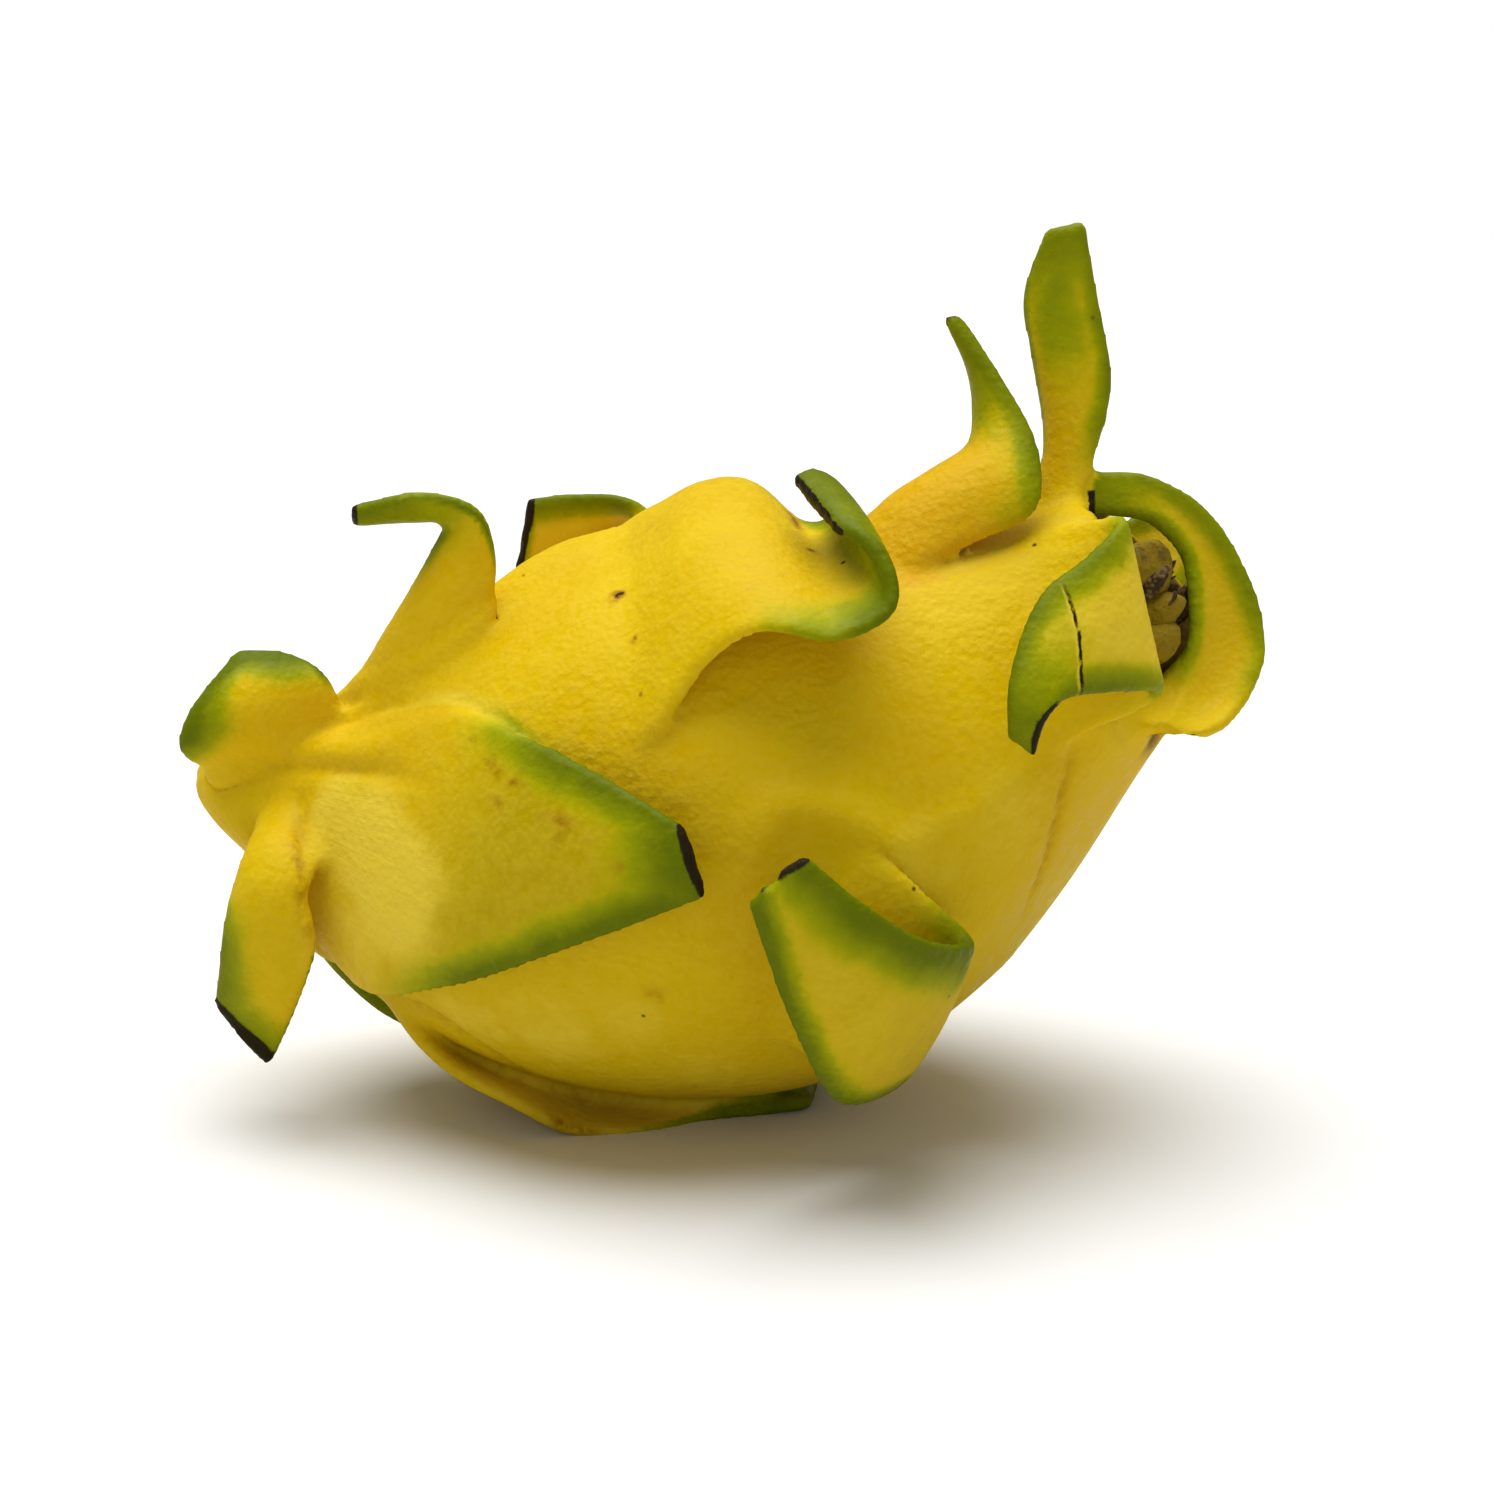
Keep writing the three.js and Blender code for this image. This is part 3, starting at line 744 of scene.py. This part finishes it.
def paintSkin(fruit, brown):
    points = readVertices(fruit, "co")
    places = scalePlace(points)
    scaleAcross, scaleAlong = places["across"], places["along"]
    along, around, lift = bodyPlace(points)
    storeGrainPlace(fruit, along, around, lift)
    storeField(fruit, "brown", brown)
    onScale = 1 - fade("onScale", places["away"])

    bands = perScale("green", places, (5, 5, 8, 0.3))
    margins = np.column_stack([places["fromFirst"], places["fromSecond"], places["fromTip"]])
    green = (1 - fade("greenBand", margins / bands[:, :3])).max(1)
    middle = perScale("middle", places) * (1 - (2 * scaleAcross - 1) ** 2)
    green = np.maximum(green, middle * fade("greenMiddle", scaleAlong))
    startShare, startWidth = fadeValues["greenStart"]
    green *= ease(scaleAlong, bands[:, 3] * startShare, bands[:, 3] + startWidth)
    green *= onScale * perScale("depth", places, 1)
    storeField(fruit, "green", green)

    tipCut = 1 - fade("tipCut", places["fromTip"] / perScale("cutReach", places, 1.3))
    cutFrom = perScale("sideCut", places, 2)
    sideCut = 1 - fade("sideCut", places["fromSecond"])
    sideCut *= ease(scaleAlong, cutFrom, cutFrom + fadeValues["sideCutStart"])
    storeField(fruit, "cut", np.maximum(perScale("cut", places) * tipCut, sideCut) * onScale)

    inner = (1 - fade("innerSide", places["above"])) * fade("innerStart", scaleAlong) * onScale
    storeField(fruit, "inner", inner * perScale("innerPale", places, 1))
    storeField(fruit, "warm", perScale("warm", places) * (1 - fade("warmRoot", scaleAlong)) * onScale)
    # painted shade: some scales' yellow is darkened, more towards the tip
    storeField(fruit, "scaleShade", perScale("scaleShade", places) * fade("scaleShade", scaleAlong) * onScale)

    # along a scale's crease: a painted shade line with a painted highlight beside it
    crease = perScale("crease", places, 9)
    fromCrease = np.clip((scaleAlong - crease) * places["alongLength"], -4, 4)
    creased = (1 - fade("creaseNear", np.abs(fromCrease))) * fade("creaseAcross", scaleAcross)
    storeField(fruit, "fromCrease", fromCrease)
    storeField(fruit, "creased", creased * (1 - fade("creaseAway", places["away"])))

    pale = np.zeros(len(points))
    for (patchAlong, patchAround), radius, strength in patchValues:
        centre = placesOnFruit([(patchAlong, patchAround, 2)])[0]
        away = np.linalg.norm(points - centre, axis=1) / mm
        pale = np.maximum(pale, strength * (1 - fade("patch", away / radius)))
    storeField(fruit, "pale", pale * (1 - 0.7 * np.minimum(green, 1)))
    # painted shade: the skin inside the crown hollow is darkened
    hollow = (1 - fade("hollowLift", lift)) * fade("hollowAlong", along) * (1 - onScale)
    storeField(fruit, "hollow", hollow)


brown = shapeSkin(fruit)
paintSkin(fruit, brown)
selectOnly(fruit)
bpy.ops.object.shade_smooth()
print("skin shaped and its fields stored")

# Dried flower in the crown hollow

flowerValues = {
    "petals": 13,
    "petalWidth": 0.0056,
    "petalLengths": (0.011, 0.017),
    "petalThickness": 0.0007,
    "petalTaper": 0.55,
    "petalTwist": 0.5,
    "petalCurl": (-0.0035, -0.4, 1.6),  # depth of the curl, and the least and most of it
    "petalRaggedness": 0.0012,
    "ringRadius": 0.0078,
    "ringSpread": (0.75, 1.05),
    "baseHeight": 0.0018,
    "baseSteps": ((0.0016, 0.001), (0.003, -0.0012)),  # inset and rise
    "gap": 0.0005,
    "lumps": (  # place across the hollow, height above its floor, radius
        (0.0014, 0.0016, 0.0125, 0.0040), (-0.0038, 0.0024, 0.0105, 0.0034),
        (-0.0064, 0.0034, 0.0070, 0.0032), (0.0030, -0.0034, 0.0090, 0.0034),
    ),
    "lumpScale": (1, 0.8, 1.35),
    "unevenness": ((0.0016, 150), (0.0005, 420)),  # height and fineness
    "seed": 5,
}


def growPetal(index, chance):
    values = flowerValues
    length = chance.uniform(*values["petalLengths"])
    deselectAll()
    bpy.ops.mesh.primitive_grid_add(x_subdivisions=5, y_subdivisions=9, size=1)
    petal = nameNewPiece("petal")
    points = readVertices(petal, "co")
    across, up = points[:, 0], points[:, 1] + 0.5
    ragged = np.array([noise.noise(Vector((u * 6, index * 3.7, v * 3))) for u, v in zip(across, up)])
    unevenness = values["petalRaggedness"] * ragged
    curl, leastCurl, mostCurl = values["petalCurl"]
    points[:, 0] = across * values["petalWidth"] * (1 - values["petalTaper"] * up) + unevenness * up
    points[:, 2] = up * length * (1 + 0.3 * ragged)
    points[:, 1] = curl * up**2 * chance.uniform(leastCurl, mostCurl) + unevenness + 0.004 * across**2
    moveVertices(petal, points)
    twist = chance.uniform(-values["petalTwist"], values["petalTwist"])
    outwards = values["ringRadius"] * chance.uniform(*values["ringSpread"])
    turn = index * 2 * math.pi / values["petals"]
    bpy.ops.object.mode_set(mode="EDIT")
    bpy.ops.mesh.select_all(action="SELECT")
    bpy.ops.transform.rotate(value=twist, orient_axis="Z", center_override=(0, 0, 0))
    bpy.ops.transform.translate(value=(0, outwards, 0))
    bpy.ops.transform.rotate(value=turn, orient_axis="Z", center_override=(0, 0, 0))
    bpy.ops.object.mode_set(mode="OBJECT")
    applyModifier(petal, "SOLIDIFY", thickness=values["petalThickness"], offset=0)
    applyModifier(petal, "SUBSURF", levels=1, render_levels=1)
    return petal


def growBase(radius):
    deselectAll()
    bpy.ops.mesh.primitive_circle_add(vertices=36, radius=radius, fill_type="NGON", location=(0, 0, 0))
    base = nameNewPiece("base")
    applyTransform(base)
    bpy.ops.object.mode_set(mode="EDIT")
    bpy.ops.mesh.select_all(action="SELECT")
    rise = (0, 0, flowerValues["baseHeight"])
    bpy.ops.mesh.extrude_region_move(TRANSFORM_OT_translate={"value": rise})
    for inset, rise in flowerValues["baseSteps"]:
        bpy.ops.mesh.inset(thickness=inset)
        bpy.ops.transform.translate(value=(0, 0, rise))
    bpy.ops.object.mode_set(mode="OBJECT")
    applyModifier(base, "SUBSURF", levels=2, render_levels=2)
    return base


def growLump(upright, near, height, radius):
    deselectAll()
    bpy.ops.mesh.primitive_ico_sphere_add(
        subdivisions=3, radius=radius, location=(upright, near, height), scale=flowerValues["lumpScale"],
    )
    lump = nameNewPiece("lump")
    applyTransform(lump)
    return lump


def growFlower():
    values = flowerValues
    chance = np.random.default_rng(values["seed"])
    noise.seed_set(values["seed"])
    floorRadius = lineValues["crownRadius"] - bodyValues["rimThickness"] - bodyValues["hollowTaper"]
    petals = [growPetal(index, chance) for index in range(values["petals"])]
    base = growBase(floorRadius - values["gap"])
    lumps = [growLump(*lump) for lump in values["lumps"]]
    fleshiness = [(base, 0.2)] + [(petal, 0) for petal in petals] + [(lump, 1) for lump in lumps]
    for piece, share in fleshiness:
        storeField(piece, "fleshy", np.full(len(piece.data.vertices), share))
    flower = joinPieces("flower_remnant", [base, *petals, *lumps])
    faceOutwards(flower)
    points = readVertices(flower, "co")
    for height, fineness in values["unevenness"]:
        points += height * np.array([noise.noise_vector(Vector(point) * fineness) for point in points])
    centre, ahead, upright = lineAt(np.array([1.0]))
    bottom = centre[0] - ahead[0] * (bodyValues["hollowDepth"] - values["gap"])
    placed = bottom + points[:, :1] * upright[0] + points[:, 1:2] * nearWay + points[:, 2:] * ahead[0]
    moveVertices(flower, placed)
    faceOutwards(flower)
    selectOnly(flower)
    bpy.ops.object.shade_smooth()
    return flower


flower = growFlower()
print("dried flower grown", len(flower.data.vertices))

# Materials


def newMaterial(name):
    material = bpy.data.materials.new(name)
    material.use_nodes = True
    return material, material.node_tree, material.node_tree.nodes["Principled BSDF"]


def addNode(tree, kind, inputs=None, **settings):
    node = tree.nodes.new(kind)
    for key, value in settings.items():
        setattr(node, key, value)
    for key, value in (inputs or {}).items():
        if isinstance(value, bpy.types.NodeSocket):
            tree.links.new(value, node.inputs[key])
        else:
            node.inputs[key].default_value = value
    return node


def fieldOf(tree, name, output="Fac"):
    return addNode(tree, "ShaderNodeAttribute", attribute_name=name).outputs[output]


def plus(tree, first, second):
    return addNode(tree, "ShaderNodeMath", {0: first, 1: second}, operation="ADD").outputs[0]


def times(tree, first, second):
    return addNode(tree, "ShaderNodeMath", {0: first, 1: second}, operation="MULTIPLY").outputs[0]


def shareOf(tree, value, low, high, lowest=0.0, highest=1.0):
    inputs = {"Value": value, "From Min": low, "From Max": high, "To Min": lowest, "To Max": highest}
    return addNode(tree, "ShaderNodeMapRange", inputs, interpolation_type="SMOOTHSTEP").outputs[0]


def mixOf(tree, share, under, over):
    return addNode(tree, "ShaderNodeMix", {0: share, 6: under, 7: over}, data_type="RGBA").outputs[2]


def noiseOf(tree, place, scale, detail=2.0, roughness=0.5):
    inputs = {"Vector": place, "Scale": scale, "Detail": detail, "Roughness": roughness}
    return addNode(tree, "ShaderNodeTexNoise", inputs).outputs["Fac"]


grainValues = {
    "swellScale": 0.35,
    "swellRoughness": 0.6,
    "poreDepth": -0.5,
    "mottle": (0.1, 0.6),
}


# Fine uneven grain: a height for bumps and a mottle for colour and gloss
def buildGrainGroup():
    group = bpy.data.node_groups.new("fineGrain", "ShaderNodeTree")
    sockets = (("Place", "NodeSocketVector"), ("Scale", "NodeSocketFloat"), ("Detail", "NodeSocketFloat"))
    for name, kind in sockets:
        group.interface.new_socket(name=name, in_out="INPUT", socket_type=kind)
    for name in ("Height", "Mottle"):
        group.interface.new_socket(name=name, in_out="OUTPUT", socket_type="NodeSocketFloat")
    start = addNode(group, "NodeGroupInput")
    place, scale, detail = (start.outputs[name] for name in ("Place", "Scale", "Detail"))
    poreInputs = {"Vector": place, "Scale": scale}
    pores = addNode(group, "ShaderNodeTexVoronoi", poreInputs, feature="SMOOTH_F1").outputs["Distance"]
    swellScale = times(group, scale, grainValues["swellScale"])
    swell = noiseOf(group, place, swellScale, detail, grainValues["swellRoughness"])
    height = plus(group, times(group, pores, grainValues["poreDepth"]), swell)
    mottle = shareOf(group, plus(group, height, 0.1), *grainValues["mottle"])
    addNode(group, "NodeGroupOutput", {"Height": height, "Mottle": mottle})
    return group


grainGroup = buildGrainGroup()


def grainIn(tree, place, scale, detail):
    node = addNode(tree, "ShaderNodeGroup", node_tree=grainGroup)
    tree.links.new(place, node.inputs["Place"])
    node.inputs["Scale"].default_value = scale
    node.inputs["Detail"].default_value = detail
    return node.outputs["Height"], node.outputs["Mottle"]


skinLook = {
    "yellow": (0.745, 0.51, 0.0005, 1),
    "deepYellow": (0.70, 0.445, 0.0005, 1),
    "paintedShadeOlive": (0.66, 0.47, 0.0005, 1),
    "paintedScaleShade": (0.47, 0.35, 0.0005, 1),
    "orange": (0.72, 0.385, 0.0005, 1),
    "creamAndHighlight": (0.84, 0.64, 0.055, 1),
    "innerYellow": (0.80, 0.61, 0.035, 1),
    "yellowGreen": (0.50, 0.45, 0.0005, 1),
    "green": (0.29, 0.32, 0.0005, 1),
    "darkGreen": (0.115, 0.155, 0.0005, 1),
    "creaseBrown": (0.34, 0.15, 0.003, 1),
    "blackAndCreaseShade": (0.022, 0.015, 0.006, 1),
    "speckBrown": (0.10, 0.05, 0.008, 1),
    "paintedHollowShade": (0.10, 0.06, 0.006, 1),
    "specular": 0.06,
    "roughness": (0.31, 0.56),
    "grainDepth": 0.0003,
    "broad": (38, 2),  # scale, detail and roughness of each noise
    "patchy": (150, 5, 0.62),
    "fine": (520, 4, 0.6),
    "streaks": (420, 4, 0.6),
    "streakStretch": (0.22, 1, 0.3),
    "grain": (1100, 3),
    "paintedShadeHeights": (0.075, 0.02, 0, 0.8),  # heights between which painted shade turns the yellow darker olive, and how far
    "mottle": 0.17,
    "speckScale": 230,
    "speckSize": (0.12, 0.05),
    "speckChance": (0.945, 0.955),
}


# Yellow of the skin, from its fields: painted shade that darkens it to olive low down and towards some
# scales' tips, orange roots, pale inner sides, creamy patches
def yellowOf(tree, place, noises):
    look = skinLook
    broad, patchy, fine, streaks, grainMottle = noises
    colour = mixOf(tree, shareOf(tree, broad, 0.35, 0.7), look["yellow"], look["deepYellow"])
    # painted shade: the yellow turns darker olive towards the bottom of the fruit
    height = addNode(tree, "ShaderNodeSeparateXYZ", {0: place}).outputs["Z"]
    low = shareOf(tree, plus(tree, height, times(tree, broad, 0.02)), *look["paintedShadeHeights"])
    colour = mixOf(tree, low, colour, look["paintedShadeOlive"])
    colour = mixOf(tree, fieldOf(tree, "warm"), colour, look["orange"])
    innerShare = times(tree, fieldOf(tree, "inner"), shareOf(tree, streaks, 0.3, 0.75, 0.55, 1))
    colour = mixOf(tree, innerShare, colour, look["innerYellow"])
    # painted shade on some scales, darker towards the tip
    colour = mixOf(tree, fieldOf(tree, "scaleShade"), colour, look["paintedScaleShade"])
    paleShare = plus(tree, fieldOf(tree, "pale"), plus(tree, patchy, -0.5))
    paleShare = shareOf(tree, plus(tree, paleShare, times(tree, fine, 0.4)), 0.25, 1.1, 0, 0.85)
    colour = mixOf(tree, paleShare, colour, look["creamAndHighlight"])
    return mixOf(tree, times(tree, grainMottle, look["mottle"]), colour, look["creamAndHighlight"])


def greenOver(tree, colour, patchy):
    look = skinLook
    field = plus(tree, fieldOf(tree, "green"), times(tree, plus(tree, patchy, -0.5), 0.6))
    greens = mixOf(tree, shareOf(tree, field, 0.2, 0.75), look["yellowGreen"], look["green"])
    greens = mixOf(tree, shareOf(tree, field, 0.6, 1.15, 0, 0.9), greens, look["darkGreen"])
    return mixOf(tree, shareOf(tree, field, 0.06, 0.6), colour, greens)


# Brown creases and black marks, and along a scale's crease a painted shade line with a painted highlight
# beside it
def creasesOver(tree, colour, patchy, fine):
    look = skinLook
    brownShare = times(tree, fieldOf(tree, "brown"), shareOf(tree, fine, 0.3, 0.6))
    colour = mixOf(tree, brownShare, colour, look["creaseBrown"])
    colour = mixOf(tree, shareOf(tree, brownShare, 0.9, 1.5), colour, look["blackAndCreaseShade"])
    unevenness = times(tree, plus(tree, patchy, -0.5), 1.6)
    fromCrease = plus(tree, fieldOf(tree, "fromCrease"), unevenness)
    creased = times(tree, fieldOf(tree, "creased"), shareOf(tree, fine, 0.3, 0.5))
    # a painted highlight beside the crease, then a painted shade line on it
    highlightNear, highlightFar = shareOf(tree, fromCrease, 0.15, 0.35), shareOf(tree, fromCrease, 0.8, 0.45)
    creaseHighlightShare = times(tree, times(tree, highlightNear, highlightFar), creased)
    colour = mixOf(tree, times(tree, creaseHighlightShare, 0.6), colour, look["creamAndHighlight"])
    creaseAway = addNode(tree, "ShaderNodeMath", {0: fromCrease}, operation="ABSOLUTE").outputs[0]
    creaseShadeShare = times(tree, shareOf(tree, creaseAway, 0.38, 0.12), creased)
    return mixOf(tree, creaseShadeShare, colour, look["blackAndCreaseShade"])


def specksOver(tree, colour, place):
    look = skinLook
    specks = addNode(tree, "ShaderNodeTexVoronoi", {"Vector": place, "Scale": look["speckScale"]})
    chance = addNode(tree, "ShaderNodeSeparateColor", {0: specks.outputs["Color"]}).outputs[0]
    size = shareOf(tree, specks.outputs["Distance"], *look["speckSize"])
    return mixOf(
        tree, times(tree, size, shareOf(tree, chance, *look["speckChance"])), colour, look["speckBrown"],
    )


def skinMaterial():
    look = skinLook
    material, tree, surface = newMaterial("dragonFruitSkin")
    place = addNode(tree, "ShaderNodeTexCoord").outputs["Object"]
    stretch = {"Vector": fieldOf(tree, "grainPlace", "Vector"), "Scale": look["streakStretch"]}
    lengthwise = addNode(tree, "ShaderNodeMapping", stretch).outputs[0]
    broad, patchy, fine = (noiseOf(tree, place, *look[name]) for name in ("broad", "patchy", "fine"))
    streaks = noiseOf(tree, lengthwise, *look["streaks"])
    grainHeight, grainMottle = grainIn(tree, place, *look["grain"])

    colour = yellowOf(tree, place, (broad, patchy, fine, streaks, grainMottle))
    colour = greenOver(tree, colour, patchy)
    colour = creasesOver(tree, colour, patchy, fine)
    colour = specksOver(tree, colour, place)
    cutShare = shareOf(tree, plus(tree, fieldOf(tree, "cut"), plus(tree, patchy, -0.5)), 0.3, 0.6)
    colour = mixOf(tree, cutShare, colour, look["blackAndCreaseShade"])
    # painted shade inside the crown hollow
    colour = mixOf(tree, fieldOf(tree, "hollow"), colour, look["paintedHollowShade"])
    tree.links.new(colour, surface.inputs["Base Color"])

    gloss = plus(tree, times(tree, patchy, 0.5), times(tree, grainMottle, 0.4))
    tree.links.new(shareOf(tree, gloss, 0.2, 0.7, *look["roughness"]), surface.inputs["Roughness"])
    wrinkles = times(tree, times(tree, streaks, fieldOf(tree, "pale")), 1.1)
    relief = plus(tree, plus(tree, grainHeight, times(tree, patchy, 1.6)), wrinkles)
    relief = plus(tree, relief, times(tree, cutShare, fine))
    bumpInputs = {"Height": relief, "Distance": look["grainDepth"], "Strength": 0.8}
    bump = addNode(tree, "ShaderNodeBump", bumpInputs)
    tree.links.new(bump.outputs[0], surface.inputs["Normal"])
    surface.inputs["Specular IOR Level"].default_value = look["specular"]
    return material


driedLook = {
    "darkBrown": (0.018, 0.009, 0.003, 1),
    "brown": (0.11, 0.055, 0.018, 1),
    "straw": (0.32, 0.21, 0.07, 1),
    "fleshOlive": (0.27, 0.18, 0.003, 1),
    "specular": 0.25,
    "patchy": (320, 4, 0.6),
    "grain": (1500, 4),
    "grainDepth": 0.0004,
}


def driedPetalMaterial():
    look = driedLook
    material, tree, surface = newMaterial("driedPetal")
    place = addNode(tree, "ShaderNodeTexCoord").outputs["Object"]
    patchy = noiseOf(tree, place, *look["patchy"])
    grainHeight, grainMottle = grainIn(tree, place, *look["grain"])
    colour = mixOf(tree, shareOf(tree, patchy, 0.35, 0.65), look["darkBrown"], look["brown"])
    colour = mixOf(tree, shareOf(tree, grainMottle, 0.6, 1, 0, 0.5), colour, look["straw"])
    flesh = times(tree, fieldOf(tree, "fleshy"), shareOf(tree, patchy, 0.3, 0.5, 0.5, 1))
    colour = mixOf(tree, flesh, colour, look["fleshOlive"])
    tree.links.new(colour, surface.inputs["Base Color"])
    tree.links.new(shareOf(tree, grainMottle, 0, 1, 0.6, 0.95), surface.inputs["Roughness"])
    relief = plus(tree, grainHeight, times(tree, patchy, 1.5))
    bump = addNode(tree, "ShaderNodeBump", {"Height": relief, "Distance": look["grainDepth"]})
    tree.links.new(bump.outputs[0], surface.inputs["Normal"])
    surface.inputs["Specular IOR Level"].default_value = look["specular"]
    return material


def dress(piece, material):
    piece.data.materials.clear()
    piece.data.materials.append(material)


dress(fruit, skinMaterial())
dress(flower, driedPetalMaterial())
print("materials made")

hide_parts("fruit")
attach(fruit, "root")
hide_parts("dried_flower")
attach(flower, "root")

# Floor, light and camera

studioValues = {
    "floorSize": 30,
    "floorColour": (0.88, 0.88, 0.87, 1),
    "floorReturn": (0.72, 0.68, 0.52, 1),  # what the floor gives back to the fruit
    "backgroundBrightness": 1.0,
    "surroundingLight": 0.2,
    # direction that the light comes from, strength and softness in degrees
    "lights": {
        "overhead": ((-0.10, 0.12, 1.0), 3.65, 60),
        "frontFill": ((-0.1, -1.0, 0.12), 0.28, 70),
    },
    "cameraTarget": (0.0048, 0.0034, 0.0520),
    "cameraDistance": 0.35503,
    "cameraDrop": 12,  # degrees that the camera looks down
    "lens": 59.8,
}


def floorMaterial():
    material, tree, surface = newMaterial("paleFloor")
    place = addNode(tree, "ShaderNodeTexCoord").outputs["Object"]
    surface.inputs["Base Color"].default_value = studioValues["floorColour"]
    cloud = noiseOf(tree, place, 6, 3)
    tree.links.new(shareOf(tree, cloud, 0.3, 0.7, 0.75, 0.85), surface.inputs["Roughness"])
    surface.inputs["Specular IOR Level"].default_value = 0.1
    returned = addNode(tree, "ShaderNodeBsdfDiffuse", {"Color": studioValues["floorReturn"]})
    path = addNode(tree, "ShaderNodeLightPath").outputs["Is Camera Ray"]
    shaders = {0: path, 1: returned.outputs[0], 2: surface.outputs[0]}
    mix = addNode(tree, "ShaderNodeMixShader", shaders)
    tree.links.new(mix.outputs[0], tree.nodes["Material Output"].inputs["Surface"])
    return material


def buildStudio():
    values = studioValues
    deselectAll()
    bpy.ops.mesh.primitive_plane_add(size=values["floorSize"], location=(0, 0, cadLow.z))
    floor = nameNewPiece("floor")
    applyTransform(floor)
    dress(floor, floorMaterial())

    middle = Vector((cadLow + cadHigh) / 2)
    for name, (offset, strength, softness) in values["lights"].items():
        place = middle + Vector(offset)
        bpy.ops.object.light_add(type="SUN", location=place)
        light = bpy.context.object
        light.name = name
        light.data.angle = math.radians(softness)
        light.data.energy = strength
        light.rotation_euler = (middle - place).to_track_quat("-Z", "Y").to_euler()

    world = bpy.data.worlds.new("softSurround")
    bpy.context.scene.world = world
    world.use_nodes = True
    tree = world.node_tree
    tree.nodes.clear()
    seen, felt = (
        addNode(tree, "ShaderNodeBackground", {"Color": (1, 1, 1, 1), "Strength": values[name]}).outputs[0]
        for name in ("backgroundBrightness", "surroundingLight")
    )
    path = addNode(tree, "ShaderNodeLightPath").outputs["Is Camera Ray"]
    mix = addNode(tree, "ShaderNodeMixShader", {0: path, 1: felt, 2: seen})
    addNode(tree, "ShaderNodeOutputWorld", {"Surface": mix.outputs[0]})

    target = Vector(values["cameraTarget"])
    drop = math.radians(values["cameraDrop"])
    place = target + Vector((0, -math.cos(drop), math.sin(drop))) * values["cameraDistance"]
    bpy.ops.object.camera_add(location=place)
    camera = bpy.context.object
    camera.data.lens = values["lens"]
    camera.data.clip_start = 0.01
    camera.rotation_euler = (target - place).to_track_quat("-Z", "Y").to_euler()
    bpy.context.scene.camera = camera
    bpy.context.scene.view_settings.view_transform = "Standard"
    bpy.context.scene.view_settings.look = "None"


buildStudio()
print("studio set")
